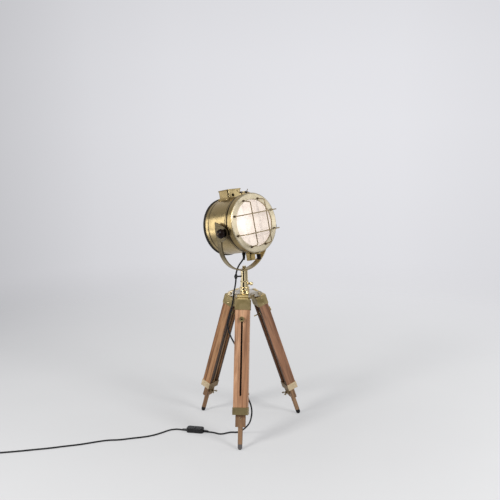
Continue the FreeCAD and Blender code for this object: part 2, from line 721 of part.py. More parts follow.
def latch_screw():
    top = RING_R + TONGUE_OUT + LATCH_GAP + TONGUE_THICK + RUN_FIT
    shank = rod(drum_point(0, LATCH_SCREW_DEPTH, -top - 4),
                drum_point(0, LATCH_SCREW_DEPTH, -top + 3), COLUMN_SCREW_R - RUN_FIT)
    knob = rod(drum_point(0, LATCH_SCREW_DEPTH, -top - LATCH_SCREW_LONG), drum_point(0, LATCH_SCREW_DEPTH, -top),
               LATCH_SCREW_R)
    knob = knob.makeFillet(1.5, knob.Edges)
    return joined([shank, knob])


def vent_box():
    top = DRUM_UP + VENT_TOP - VENT_LID
    low = DRUM_UP + VENT_LOW
    shell = span(-VENT_HALF, VENT_HALF, VENT_FRONT, VENT_BACK, low, top)
    shell = shell.makeFillet(VENT_ROUND, [edge for edge in shell.Edges if edge.BoundBox.ZLength > EPS])
    half = VENT_HALF + VENT_CURB
    curb = span(-half, half, VENT_FRONT - VENT_CURB, VENT_BACK + VENT_CURB, low,
                DRUM_UP + DRUM_R + VENT_WALL)
    inner = VENT_HALF - VENT_WALL
    room = span(-inner, inner, VENT_FRONT + VENT_ROUND, VENT_BACK - VENT_ROUND, low - EPS, top - VENT_WALL)
    hole = rod(V(VENT_HOLE_X, VENT_FRONT - EPS, DRUM_UP + VENT_HOLE_UP),
               V(VENT_HOLE_X, VENT_FRONT + VENT_ROUND + EPS, DRUM_UP + VENT_HOLE_UP), VENT_HOLE_R)
    return joined([shell, curb]).cut(room).cut(hole).cut(inside_drum())


def vent_lid():
    half = VENT_HALF + 1.5
    low = DRUM_UP + VENT_TOP - VENT_LID
    plate = span(-half, half, VENT_FRONT - 3, VENT_BACK + 2, low, DRUM_UP + VENT_TOP)
    corners = [edge for edge in plate.Edges if abs(edge.tangentAt(0).z) > 0.99]
    plate = plate.makeFillet(VENT_ROUND, corners)
    return plate.makeFillet(1.2, [edge for edge in plate.Edges if edge.BoundBox.ZMin > low + 1])


def lampholder():
    seat = RIM_BACK - RING_FRONT - RIM_THICK - 1.0
    back = RIM_BACK - RING_FRONT - RIM_THICK - 8
    front = back - 42
    profile = [(0, front + 4), (14, front + 4), (14, front), (19, front), (19, back - 8), (26, back - 4),
               (26, seat), (0, seat)]
    holder = about_drum(profile)
    cover = back_cover()
    return holder.cut(cover)


def bulb():
    back = RIM_BACK - RING_FRONT - RIM_THICK - 8 - 42 + 4
    wall = 1.2
    profile = [(13, 0), (14, 16), (22, 34), (29, 52), (30, 62), (26, 76), (16, 86), (0, 90)]
    outer = [(0, back)] + [(radius, back - reach) for radius, reach in profile]
    inner = [(0, back - wall)] + [(max(radius - wall, 0), back - reach - (wall if reach < 1 else 0))
                                  for radius, reach in profile[:-1]]
    inner.append((0, back - profile[-1][1] + wall))
    return about_drum(outer).cut(about_drum(inner))


def pivot_stud(side):
    flat = rod(V(side * (DRUM_R - 14), 0, 0), V(side * (ARM_INNER - SEAT), 0, 0), BOSS_R)
    boss = flat.cut(inside_drum())
    stud = rod(V(side * (DRUM_R - 10), 0, 0), V(side * (ARM_OUTER + 14), 0, 0), PIVOT_STUD_R)
    nut = rod(V(side * (DRUM_R - 10), 0, 0), V(side * (DRUM_R - 6), 0, 0), PIVOT_STUD_R + 3)
    return joined([boss, stud, nut])


def tilt_knob(side):
    start = side * (ARM_OUTER + RUN_FIT)
    washer = rod(V(start, 0, 0), V(start + side * 4, 0, 0), 9.0)
    outline = [(3, 0), (3, 10), (5, 15), (9, 17.5), (15, 17), (20, 14), (23, 9), (24, 0)]
    profile = [V(start + side * along, radius, 0) for along, radius in outline]
    ball = turned(profile, V(0, 0, 0), X_AXIS)
    hole = rod(V(start - side, 0, 0), V(start + side * 14.5, 0, 0), PIVOT_STUD_R + RUN_FIT)
    return joined([washer, ball]).cut(hole)


def build_head():
    guard = guard_cage()
    steps = head_steps()
    head = {"drum": drum(), "back_cover": back_cover(), "back_rim": back_rim(),
            "door_ring": door_ring(guard), "door_glass": door_glass(), "glass_seal": glass_seal(),
            "guard_cage": guard, "hinge_bracket": hinge_bracket(), "hinge_pin": hinge_pin(),
            "latch_block": latch_block(), "latch_screw": latch_screw(), "vent_box": vent_box(),
            "vent_lid": vent_lid(), "lampholder": lampholder(), "bulb": bulb(),
            "tilt_knob_left": tilt_knob(-1), "tilt_knob_right": tilt_knob(1),
            "cord_gland": cord_gland()}
    for name, shape in head.items():
        NODES[name] = place(shape, steps).Solids
    NODES["guard_nuts"] = [place(nut, steps) for nut in guard_nuts(guard)]
    NODES["pivot_studs"] = [place(pivot_stud(side), steps) for side in (-1, 1)]


# ---------------------------------------------------------------- cord
def pole_clip():
    """Rubber bead on the cord, seated against the side of the pole."""
    run = CLIP_END - CLIP_BEND
    top = CLIP_BEND + run * 0.12
    end = CLIP_BEND + run * 0.95
    middle = (top + end) * 0.5
    ends = [cone(middle, top, CLIP_R, CORD_R + 1.0), cone(middle, end, CLIP_R, CORD_R + 1.0)]
    bridge = rod(V(0, 0, middle.z), middle, CORD_R)
    hole = rod(CLIP_END + run, CLIP_BEND - run, CORD_R)
    core = rod(V(0, 0, CLIP_END.z - 50), V(0, 0, CLIP_BEND.z + 20), POLE_R)
    return joined(ends + [bridge]).cut(hole).cut(core)


def cable_tie():
    x, y, z = CLIP_AT.x, CLIP_AT.y, CLIP_AT.z
    block = span(x - 4.9, x + 4.9, WOOD_HALF_Y, y + CORD_R + 2, z - CLIP_HALF_Z, z + CLIP_HALF_Z)
    hole = rod(V(x, y, z - 20), V(x, y, z + 20), CORD_R)
    return block.cut(hole)


def switch_steps():
    along = SWITCH_LEFT - SWITCH_RIGHT
    angle = math.degrees(math.atan2(along.y, along.x))
    centre = (SWITCH_LEFT + SWITCH_RIGHT) * 0.5
    return [turn(Z_AXIS, angle), shift(centre)]


def switch_body():
    half = (SWITCH_LEFT - SWITCH_RIGHT).Length / 2.0
    body = span(-half, half, -SWITCH_HALF_W, SWITCH_HALF_W, 0, SWITCH_H)
    body = body.makeFillet(9.0, [edge for edge in body.Edges if abs(edge.tangentAt(0).z) > 0.9])
    top = [edge for edge in body.Edges if edge.BoundBox.ZMin > SWITCH_H - 0.1]
    body = body.makeFillet(4.0, top)
    wide = ROCKER_HALF + RUN_FIT * 2
    well = rod(V(0, -wide, ROCKER_Z), V(0, wide, ROCKER_Z), ROCKER_R + RUN_FIT)
    pins = rod(V(0, -wide - 3, ROCKER_Z), V(0, wide + 3, ROCKER_Z), 1.5 + RUN_FIT)
    return body.cut(well).cut(pins)


def switch_rocker():
    drum_part = rod(V(0, -ROCKER_HALF, ROCKER_Z), V(0, ROCKER_HALF, ROCKER_Z), ROCKER_R)
    pins = rod(V(0, -ROCKER_HALF - 2.5, ROCKER_Z), V(0, ROCKER_HALF + 2.5, ROCKER_Z), 1.5)
    height = 8.0
    for tilt in (0.0, 2 * ROCKER_TILT):
        slab = span(-20, 20, -ROCKER_HALF - EPS, ROCKER_HALF + EPS, height, height + 10)
        slab = place(slab, [turn(Y_AXIS, tilt), shift(V(0, 0, ROCKER_Z))])
        drum_part = drum_part.cut(slab)
    return joined([drum_part, pins])


FLOOR_Z = CORD_R
HEAD_CORD = [V(0, 0, GLAND_Z), V(0, 0, GLAND_Z - 12.5), V(-7.5, -0.7, GLAND_Z - 25.5),
             V(-20, -2.5, GLAND_Z - 41.5), V(-26.8, -7.0, 612), CLIP_BEND, CLIP_END]
COLUMN_CORD = [CLIP_END, CLIP_END + (CLIP_END - CLIP_BEND) * 0.57, V(-34.5, -16.5, 549),
               V(-37.8, -26, 528), V(-39.5, -31.5, 508), V(-42.5, -34.5, 490)]
LEG_CORD = [V(-42.5, -34.5, 490), V(-45, -37, 475), V(-53, -31, 455), V(-61, -20, 434),
            V(-66, -13.5, 411), V(-64, -18, 387), V(-54, -29, 362), V(-38, -48, 342),
            V(-20, -70, 322), V(-2, -86, 298)]
LEG_CORD_IN_LEG = [V(8, 27, -262), V(17, 22.6, -300), V(22, 22.1, -330), CLIP_AT]
DROP_CORD_IN_LEG = [CLIP_AT, V(22, 22.1, -368)]
DROP_CORD = [V(33, -148, 142), V(37, -146, 112), V(31.7, -136.7, 80), V(23, -121.6, 54),
             V(9, -106, 32), V(-7, -94, 14), V(-25, -91, FLOOR_Z), V(-38, -90.8, FLOOR_Z)]
FLOOR_START = [V(-38, -90.8, FLOOR_Z), V(-52, -90.6, FLOOR_Z), V(-66, -99, FLOOR_Z),
               V(-80, -108.5, FLOOR_Z), V(-95, -109.5, FLOOR_Z), V(-115.9, -99, FLOOR_Z),
               V(-135.1, -95.4, FLOOR_Z)]


def floor_z(points):
    return [V(x, y, FLOOR_Z) for x, y in points]


def switch_end(point, outward):
    """A cord point in line with the switch, at its end face or outward of it."""
    along = (SWITCH_LEFT - SWITCH_RIGHT).normalize()
    return V(point.x, point.y, FLOOR_Z) + along * outward


FLOOR_RUN = floor_z([(-262, -79), (-289, -88), (-315.4, -118), (-346, -144), (-382.3, -160),
                     (-420, -172), (-456.4, -187), (-500.9, -192), (-549, -214), (-593, -236),
                     (-637.8, -250.5), (-692, -272), (-747.7, -288.2), (-803, -306), (-858.6, -320.1)])


def heading(angle):
    return V(math.cos(math.radians(angle)), math.sin(math.radians(angle)), 0)


def coil_start():
    """Where the coil begins, the cord's heading there, its centre and first angle."""
    run = FLOOR_RUN[-1] - FLOOR_RUN[-2]
    arrives = math.degrees(math.atan2(run.y, run.x)) % 360.0
    start = FLOOR_RUN[-1] + heading(arrives) * COIL_LEAD
    centre = start + heading(arrives + 90.0) * coil_outer_r()
    return start, arrives, centre


def coil_turns():
    run = FLOOR_RUN[-1] - FLOOR_RUN[-2]
    arrives = math.degrees(math.atan2(run.y, run.x)) % 360.0
    return COIL_WHOLE_TURNS + ((COIL_LEAVES - arrives) % 360.0) / 360.0


def layer_turns():
    return (coil_turns() - COIL_RISE_TURN) / 2.0


def coil_outer_r():
    return COIL_INNER_R + COIL_PITCH * layer_turns()


def coil_point(turn_count):
    """In along the floor, up at the middle, and out again on the upper layer."""
    start, arrives, centre = coil_start()
    layer = layer_turns()
    climb = min(max((turn_count - layer) / COIL_RISE_TURN, 0.0), 1.0)
    if turn_count < layer:
        radius = COIL_INNER_R + COIL_PITCH * (layer - turn_count)
    else:
        radius = COIL_INNER_R + COIL_PITCH * max(turn_count - layer - COIL_RISE_TURN, 0.0)
    smooth = climb * climb * (3.0 - 2.0 * climb)
    out = heading(arrives - 90.0 + 360.0 * turn_count) * radius
    return V(centre.x + out.x, centre.y + out.y, FLOOR_Z + COIL_LIFT * smooth)


def arc_toward(start, tangent, end):
    """Arc that leaves start along tangent and reaches end."""
    chord = end - start
    unit = V(chord).normalize()
    side = tangent - unit * tangent.dot(unit)
    if side.Length < 1e-6:
        return Part.LineSegment(start, end).toShape()
    bulge = math.tan(tangent.getAngle(chord) / 2.0) * chord.Length / 2.0
    middle = (start + end) * 0.5 + side.normalize() * bulge
    return Part.Arc(start, middle, end).toShape()


def biarc(start, tangent_start, end, tangent_end):
    """Two arcs that share a tangent, from one point and heading to another."""
    gap = end - start
    both = tangent_start + tangent_end
    spread = 2.0 * (1.0 - tangent_start.dot(tangent_end))
    if spread > 1e-9:
        along = gap.dot(both)
        reach = (-along + math.sqrt(along * along + spread * gap.dot(gap))) / spread
    else:
        reach = gap.dot(gap) / (4.0 * gap.dot(tangent_end))
    middle = (start + end + (tangent_start - tangent_end) * reach) * 0.5
    tangent_mid = (middle - (start + tangent_start * reach)).normalize()
    return [arc_toward(start, tangent_start, middle), arc_toward(middle, tangent_mid, end)]


def plug_entry():
    """Where the cord meets the plug."""
    end = coil_point(coil_turns())
    along = heading(COIL_LEAVES) * (COIL_STRAIGHT * 2 + COIL_TAIL)
    return V(end.x + along.x, end.y + along.y, PLUG_THICK / 2.0)


def cord_coil():
    start, arrives, centre = coil_start()
    turns = coil_turns()
    lead = start - heading(arrives) * COIL_STRAIGHT
    count = int(round(turns * COIL_STEPS))
    stations = [turns * step / count for step in range(count + 1)]
    points = [coil_point(station) for station in stations]
    small = 1e-4
    tangents = []
    for station in stations:
        ahead = coil_point(min(station + small, turns))
        behind = coil_point(max(station - small, 0.0))
        tangents.append((ahead - behind).normalize())
    tangents[0] = heading(arrives)
    tangents[-1] = heading(COIL_LEAVES)
    edges = [Part.LineSegment(lead, start).toShape()]
    for index in range(count):
        edges += biarc(points[index], tangents[index], points[index + 1], tangents[index + 1])
    out = heading(COIL_LEAVES)
    entry = plug_entry()
    tail_end = entry - out * COIL_STRAIGHT
    edges.append(Part.LineSegment(points[-1], points[-1] + out * COIL_STRAIGHT).toShape())
    edges += biarc(points[-1] + out * COIL_STRAIGHT, out, tail_end, out)
    edges.append(Part.LineSegment(tail_end, entry).toShape())
    wire = Part.Wire(edges)
    solid = tube_along(wire, lead, heading(arrives), CORD_R)
    ideal = wire.Length * math.pi * CORD_R ** 2
    samples = wire.discretize(Distance=2.0)
    least = 1e9
    for first in range(len(samples)):
        for second in range(first + 12, len(samples)):
            least = min(least, (samples[first] - samples[second]).Length)
    print("coil turns %.2f length %.1f gap to itself %.2f volume %.4f of ideal, valid %s" % (
        turns, wire.Length, least - 2 * CORD_R, solid.Volume / ideal, solid.isValid()))
    NODES["cord_coil"] = [solid]
    return wire.Length


def plug_steps():
    entry = plug_entry()
    return [turn(Z_AXIS, COIL_LEAVES), shift(V(entry.x, entry.y, 0))]


def plug_body():
    """Flat two-pin plug lying on its wide side, cord entry at the origin, pins toward +X."""
    end = PLUG_RELIEF + PLUG_LONG
    outline = [V(PLUG_RELIEF, -9, 0), V(PLUG_RELIEF + 8, -PLUG_HALF_W + 3, 0),
               V(PLUG_RELIEF + 16, -PLUG_HALF_W, 0), V(end, -PLUG_HALF_W, 0),
               V(end, PLUG_HALF_W, 0), V(PLUG_RELIEF + 16, PLUG_HALF_W, 0),
               V(PLUG_RELIEF + 8, PLUG_HALF_W - 3, 0), V(PLUG_RELIEF, 9, 0)]
    body = prism(outline, V(0, 0, 0), V(0, 0, PLUG_THICK))
    rim = [edge for edge in body.Edges if edge.BoundBox.ZLength < 0.1]
    body = body.makeChamfer(1.6, rim)
    middle = PLUG_THICK / 2.0
    relief = cone(V(0, 0, middle), V(PLUG_RELIEF + EPS, 0, middle), CORD_R + 1.2, middle - 1.2)
    return joined([body, relief])


def plug_pins():
    end = PLUG_RELIEF + PLUG_LONG
    pins = []
    for side in (-0.5, 0.5):
        start = V(end, side * PIN_PITCH, PLUG_THICK / 2.0)
        pin = rod(start, start + V(PIN_LONG, 0, 0), PIN_R)
        pins.append(pin)
    return pins


def build_cords():
    front = leg_steps("front")
    total = cord("cord_head", HEAD_CORD)
    total += cord("cord_column", COLUMN_CORD)
    total += cord("cord_leg", LEG_CORD + [at(point, front) for point in LEG_CORD_IN_LEG])
    total += cord("cord_drop", [at(point, front) for point in DROP_CORD_IN_LEG] + DROP_CORD)
    start = FLOOR_START + [switch_end(SWITCH_RIGHT, 0)]
    start_of_coil, arrives, centre = coil_start()
    run = [switch_end(SWITCH_LEFT, 0), switch_end(SWITCH_LEFT, 16)] + FLOOR_RUN[:-1]
    run.append(start_of_coil - heading(arrives) * COIL_STRAIGHT)
    total += cord("cord_floor", start)
    first = NODES["cord_floor"]
    total += cord("cord_floor", run)
    NODES["cord_floor"] = first + NODES["cord_floor"]
    total += cord_coil()
    print("whole cord", round(total, 1))
    NODES["plug_body"] = place(plug_body(), plug_steps()).Solids
    NODES["plug_pins"] = [place(pin, plug_steps()) for pin in plug_pins()]
    NODES["pole_clip"] = pole_clip().Solids
    NODES["cable_tie"] = place(cable_tie(), front).Solids
    NODES["switch_body"] = place(switch_body(), switch_steps()).Solids
    NODES["switch_rocker"] = place(switch_rocker(), switch_steps()).Solids


# ---------------------------------------------------------------- all
def measure_offset():
    solids = []
    for name, parts in NODES.items():
        if not name.startswith("cord_") or name == "cord_gland":
            if not name.startswith("switch") and not name.startswith("plug"):
                solids += parts
    box = Part.makeCompound(solids).optimalBoundingBox()
    print("lamp box", [round(v, 2) for v in (box.XMin, box.XMax, box.YMin, box.YMax, box.ZMin, box.ZMax)])
    return V(-(box.XMin + box.XMax) / 2.0, -(box.YMin + box.YMax) / 2.0, -box.ZMin)


def export():
    os.makedirs("parts", exist_ok=True)
    for name, solids in NODES.items():
        moved = []
        for solid in solids:
            copy = solid.copy()
            copy.translate(OFFSET)
            moved.append(copy)
        shape = moved[0] if len(moved) == 1 else Part.makeCompound(moved)
        if not shape.isValid():
            print("not valid:", name)
        if shape.Volume <= 0:
            print("no volume:", name)
        shape.exportStep("parts/%s.step" % name)
    print(len(NODES), "nodes,", sum(len(solids) for solids in NODES.values()), "solids")


build_legs()
build_column()
build_head()
build_cords()
OFFSET = measure_offset()
print("offset", OFFSET)
export()
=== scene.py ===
import math

import bmesh
import bpy
from mathutils import Matrix, Vector


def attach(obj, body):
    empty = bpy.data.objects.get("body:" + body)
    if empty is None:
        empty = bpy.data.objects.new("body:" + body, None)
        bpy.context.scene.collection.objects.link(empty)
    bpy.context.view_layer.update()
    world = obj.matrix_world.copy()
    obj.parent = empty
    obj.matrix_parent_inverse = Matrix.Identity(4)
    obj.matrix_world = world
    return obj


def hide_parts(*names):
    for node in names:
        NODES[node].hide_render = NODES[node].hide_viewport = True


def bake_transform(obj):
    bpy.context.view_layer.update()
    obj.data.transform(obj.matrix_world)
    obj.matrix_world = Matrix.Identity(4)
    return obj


# Tripod spotlight floor lamp, dressed over its CAD model and in the same frame. Blender counts in
# metres. Sizes here are in millimetres and degrees, but bumps and the studio are in metres.

MM = 0.001
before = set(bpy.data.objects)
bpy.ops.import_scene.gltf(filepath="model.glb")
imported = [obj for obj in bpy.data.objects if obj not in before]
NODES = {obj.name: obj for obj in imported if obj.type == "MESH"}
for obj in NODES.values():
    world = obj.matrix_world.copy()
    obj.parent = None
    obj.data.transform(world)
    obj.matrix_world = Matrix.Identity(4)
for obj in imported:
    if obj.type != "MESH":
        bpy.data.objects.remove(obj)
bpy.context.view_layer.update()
SHIFT = Vector((0, 41.669422, 0)) * MM      # the CAD model's move from its column axis

LEGS = {"front": 0.0, "right": 120.0, "left": 240.0}    # each leg's turn about the column
LEG_SPREAD = 18.9
HINGE_RADIUS = 50.0
HINGE_Z = 521.0
PAN = 49.5
TILT = 11.0
PIVOT_FORWARD = 22.0
PIVOT_Z = 767.0
DRUM_UP = 22.0              # the drum's axis, above the pivots
DRUM_R = 105.0
RING_FRONT = -45.0          # the door ring's face, on the head's Y axis
CORD_R = 3.0
FLOOR_Z = 3.0               # the middle of a cord that lies on the floor


# ---------------------------------------------------------------- places
def own(x, y, z):
    """A point given in mm about the column axis."""
    return Vector((x, y, z)) * MM + SHIFT


def leg_matrix(leg):
    """A leg's own axes: from its hinge, with the foot along -Z and the outside along -Y."""
    spread = Matrix.Rotation(math.radians(-LEG_SPREAD), 4, "X")
    lift = Matrix.Translation((0, -HINGE_RADIUS * MM, HINGE_Z * MM))
    turn = Matrix.Rotation(math.radians(LEGS[leg]), 4, "Z")
    return Matrix.Translation(SHIFT) @ turn @ lift @ spread


def head_matrix():
    """The head's own axes: from the middle of the pivots, with the door along -Y."""
    tilt = Matrix.Rotation(math.radians(-TILT), 4, "X")
    lift = Matrix.Translation((0, -PIVOT_FORWARD * MM, PIVOT_Z * MM))
    turn = Matrix.Rotation(math.radians(PAN), 4, "Z")
    return Matrix.Translation(SHIFT) @ turn @ lift @ tilt


HEAD = head_matrix()


def leg_point(leg, x, y, z):
    return leg_matrix(leg) @ (Vector((x, y, z)) * MM)


def leg_way(leg, x, y, z):
    """A direction given on a leg's own axes."""
    return leg_matrix(leg).to_3x3() @ Vector((x, y, z))


def head_way(x, y, z):
    """A direction given on the head's own axes."""
    return HEAD.to_3x3() @ Vector((x, y, z))


def drum_point(x, depth, z):
    """A point on the head, given at a depth behind the ring face and from the drum axis."""
    return HEAD @ (Vector((x, RING_FRONT + depth, DRUM_UP + z)) * MM)


def add_object(name, data):
    """A new object in the scene."""
    piece = bpy.data.objects.new(name, data)
    bpy.context.collection.objects.link(piece)
    return piece


# ---------------------------------------------------------------- camera
CAMERA_AT = (315.4, -2516.6, 1145.1)
CAMERA_DOWN = 10.22
CAMERA_TURN = 6.62
CAMERA_ROLL = -1.05
CAMERA_LENS = 49.68
CAMERA_SENSOR = 36.0
CAMERA_REACH = 100.0        # metres


def make_camera():
    data = bpy.data.cameras.new("camera")
    data.lens = CAMERA_LENS
    data.sensor_width = CAMERA_SENSOR
    data.clip_end = CAMERA_REACH
    camera = add_object("camera", data)
    turn = Matrix.Rotation(math.radians(CAMERA_TURN), 4, "Z")
    down = Matrix.Rotation(math.radians(90.0 - CAMERA_DOWN), 4, "X")
    roll = Matrix.Rotation(math.radians(CAMERA_ROLL), 4, "Z")
    camera.matrix_world = Matrix.Translation(own(*CAMERA_AT)) @ turn @ down @ roll
    bpy.context.scene.camera = camera
    bpy.context.scene.view_settings.view_transform = "Standard"


make_camera()


# ---------------------------------------------------------------- node trees
class Graph:
    """Short calls for the nodes that the materials and the world are made of."""

    def __init__(self, tree):
        self.nodes = tree.nodes
        self.links = tree.links

    def new(self, kind, **settings):
        node = self.nodes.new(kind)
        for key, value in settings.items():
            setattr(node, key, value)
        return node

    def feed(self, value, socket):
        """Link a socket to another one, or set it to a number or a colour."""
        if hasattr(value, "is_linked"):
            self.links.new(value, socket)
        elif hasattr(value, "__len__"):
            socket.default_value = (*value, 1.0)
        else:
            socket.default_value = value

    def axes(self, vector):
        """The X, Y and Z of a vector."""
        split = self.new("ShaderNodeSeparateXYZ")
        self.feed(vector, split.inputs[0])
        return split.outputs

    def length(self, vector):
        node = self.new("ShaderNodeVectorMath", operation="LENGTH")
        self.feed(vector, node.inputs[0])
        return node.outputs["Value"]

    def gain(self, colour, factor):
        node = self.new("ShaderNodeVectorMath", operation="SCALE")
        node.inputs["Scale"].default_value = factor
        self.feed(colour, node.inputs[0])
        return node.outputs[0]

    def pair(self, operation, first, second):
        """One number made of two."""
        node = self.new("ShaderNodeMath", operation=operation)
        self.feed(first, node.inputs[0])
        self.feed(second, node.inputs[1])
        return node.outputs[0]

    def between(self, value, low, high, kind="SMOOTHSTEP"):
        """0 where the value is low and 1 where it is high."""
        step = self.new("ShaderNodeMapRange", interpolation_type=kind)
        step.inputs["From Min"].default_value = low
        step.inputs["From Max"].default_value = high
        self.feed(value, step.inputs["Value"])
        return step.outputs["Result"]

    def ramp(self, value, stops, tint=(1.0, 1.0, 1.0)):
        """Colours at places from 0 to 1. A stop given as one number is a grey with the tint."""
        node = self.new("ShaderNodeValToRGB")
        points = node.color_ramp.elements
        while len(points) < len(stops):
            points.new(0.5)
        for point, (position, colour) in zip(points, stops):
            point.position = position
            if not hasattr(colour, "__len__"):
                colour = [colour * part for part in tint]
            point.color = (*colour, 1.0)
        self.feed(value, node.inputs["Fac"])
        return node.outputs["Color"]

    def mix(self, factor, first, second, blend="MIX"):
        node = self.new("ShaderNodeMix", data_type="RGBA", blend_type=blend)
        self.feed(factor, node.inputs[0])
        self.feed(first, node.inputs[6])
        self.feed(second, node.inputs[7])
        return node.outputs[2]

    def mix_shaders(self, factor, first, second):
        node = self.new("ShaderNodeMixShader")
        self.feed(factor, node.inputs["Fac"])
        self.feed(first, node.inputs[1])
        self.feed(second, node.inputs[2])
        return node.outputs[0]


class Shade(Graph):
    """A material with one principled shader."""

    def __init__(self, name):
        self.material = bpy.data.materials.new(name)
        self.material.use_nodes = True
        super().__init__(self.material.node_tree)
        self.shader = self.nodes["Principled BSDF"]

    def set(self, **values):
        for key, value in values.items():
            self.shader.inputs[key.replace("_", " ")].default_value = value

    def into(self, out, name):
        self.feed(out, self.shader.inputs[name])

    def place(self, matrix=None, scale=(1, 1, 1)):
        """Object coordinates, turned into a piece's own axes and scaled."""
        out = self.new("ShaderNodeTexCoord").outputs["Object"]
        if matrix is not None:
            turn = self.new("ShaderNodeMapping")
            inverse = matrix.inverted()
            turn.inputs["Rotation"].default_value = inverse.to_euler()
            turn.inputs["Location"].default_value = inverse.to_translation()
            self.feed(out, turn.inputs["Vector"])
            out = turn.outputs["Vector"]
        stretch = self.new("ShaderNodeMapping")
        stretch.inputs["Scale"].default_value = scale
        self.feed(out, stretch.inputs["Vector"])
        return stretch.outputs["Vector"]

    def along(self, matrix, axis, low, high):
        """0 to 1 between two places, in mm, on one of a piece's own axes."""
        return self.between(self.axes(self.place(matrix))[axis], low * MM, high * MM, "LINEAR")

    def noise(self, place, scale, detail=4.0, rough=0.55, warp=0.0):
        node = self.new("ShaderNodeTexNoise")
        node.inputs["Scale"].default_value = scale
        node.inputs["Detail"].default_value = detail
        node.inputs["Roughness"].default_value = rough
        node.inputs["Distortion"].default_value = warp
        self.feed(place, node.inputs["Vector"])
        return node.outputs["Fac"]

    def bump(self, height, strength, distance, before=None):
        node = self.new("ShaderNodeBump")
        node.inputs["Strength"].default_value = strength
        node.inputs["Distance"].default_value = distance
        self.feed(height, node.inputs["Height"])
        if before is not None:
            self.feed(before, node.inputs["Normal"])
        return node.outputs["Normal"]


# ---------------------------------------------------------------- kinds of surface
WHITE = (1.0, 1.0, 1.0)
GRAIN_STRETCH = (1.0, 1.0, 0.055)
DRIFT_STRETCH = (1.0, 1.0, 0.25)
PORE_STRETCH = (1.0, 1.0, 0.02)
SCRATCH_STRETCH = (1.0, 1.0, 6.0)


def wood(name, matrix, dark, mid, light, rough=0.42, hollow_shade=None):
    """Long grain along a leg, with pores, slow colour drift, a thin varnish and painted shade where
    given.
    """
    shade = Shade(name)
    along = shade.place(matrix, GRAIN_STRETCH)
    drift = shade.noise(shade.place(matrix, DRIFT_STRETCH), 14.0, 3.0, 0.5)
    grain = shade.noise(along, 150.0, 6.0, 0.62, 0.35)
    figure = shade.noise(along, 46.0, 3.0, 0.5, 1.2)
    base = shade.ramp(figure, [(0.28, dark), (0.5, mid), (0.74, light)])
    fine = shade.ramp(grain, [(0.3, 0.40), (0.5, 0.88), (0.8, 1.0)])
    colour = shade.mix(1.0, base, fine, "MULTIPLY")
    slow = shade.ramp(drift, [(0.3, (0.74, 0.66, 0.6)), (0.6, WHITE), (0.85, (1.1, 1.04, 0.98))])
    colour = shade.mix(0.85, colour, slow, "MULTIPLY")
    # Painted shade in the leg's hollows, where it is given.
    if hollow_shade:
        colour = hollow_shade(shade, matrix, colour)
    shade.into(colour, "Base Color")
    shade.into(shade.ramp(grain, [(0.2, rough + 0.2), (0.8, rough - 0.06)]), "Roughness")
    pores = shade.noise(shade.place(matrix, PORE_STRETCH), 520.0, 3.0, 0.6)
    first = shade.bump(grain, 0.25, 0.0005)
    shade.into(shade.bump(pores, 0.2, 0.0002, first), "Normal")
    shade.set(Coat_Weight=0.05, Coat_Roughness=0.35, Specular_IOR_Level=0.3)
    return shade.material


def brass(name, colour, dull, rough=0.3, mottle=0.5, brush=(None, SCRATCH_STRETCH), coat=0.0,
          light_and_shade=None):
    """Brass with darkened patches, faint handling marks and fine scratches, and painted light and
    shade where given.
    """
    shade = Shade(name)
    shade.set(Metallic=1.0)
    place = shade.place()
    patches = shade.noise(place, 26.0, 5.0, 0.6, 0.4)
    specks = shade.noise(place, 210.0, 4.0, 0.65)
    blotch = shade.ramp(patches, [(0.36, 1.0), (0.5, 0.45), (0.66, 0.0)])
    worn = shade.mix(mottle, colour, dull)
    tone = shade.mix(blotch, colour, worn)
    fleck = shade.ramp(specks, [(0.3, 0.72), (0.5, 1.0), (0.75, 1.06)])
    tone = shade.mix(0.5, tone, fleck, "MULTIPLY")
    # Painted light and shade, multiplied into the colour where given.
    if light_and_shade:
        tone = shade.mix(1.0, tone, light_and_shade(shade), "MULTIPLY")
    shade.into(tone, "Base Color")
    shade.into(shade.ramp(patches, [(0.3, rough + 0.12), (0.7, rough - 0.04)]), "Roughness")
    lines = shade.noise(shade.place(*brush), 420.0, 3.0, 0.6)
    shade.into(shade.bump(lines, 0.12, 0.0002), "Normal")
    if coat:
        shade.set(Coat_Weight=coat, Coat_Roughness=0.12)
    return shade.material


def plain(name, colour, rough, marks=0.08, scale=160.0, bump=0.1, **values):
    """Moulded, painted or rubber surface with small changes in tone and gloss."""
    shade = Shade(name)
    grain = shade.noise(shade.place(), scale, 4.0, 0.6)
    tone = shade.ramp(grain, [(0.3, 1.0 - marks * 2), (0.5, 1.0), (0.8, 1.0 + marks)])
    shade.into(shade.mix(1.0, colour, tone, "MULTIPLY"), "Base Color")
    gloss = shade.ramp(grain, [(0.3, rough + marks), (0.75, rough - marks * 0.5)])
    shade.into(gloss, "Roughness")
    shade.into(shade.bump(grain, bump, 0.0003), "Normal")
    shade.set(**values)
    return shade.material


GLASS_TONES = [(0.3, (0.68, 0.57, 0.50)), (0.55, (0.78, 0.67, 0.58)), (0.8, (0.85, 0.75, 0.67))]
GLASS_PAINTED_LIGHT = [(0.0, (0.62, 0.60, 0.58)), (0.5, (0.30, 0.26, 0.225)), (1.0, (0.10, 0.08, 0.068))]
GLOW_MIDDLE = (-52, 0, 8)           # the painted reflection's middle, on the ring's face, from the drum axis
GLOW_STRETCH = (11.0, 1.0, 9.0)     # one over the painted reflection's reach in metres, along X, Y and Z
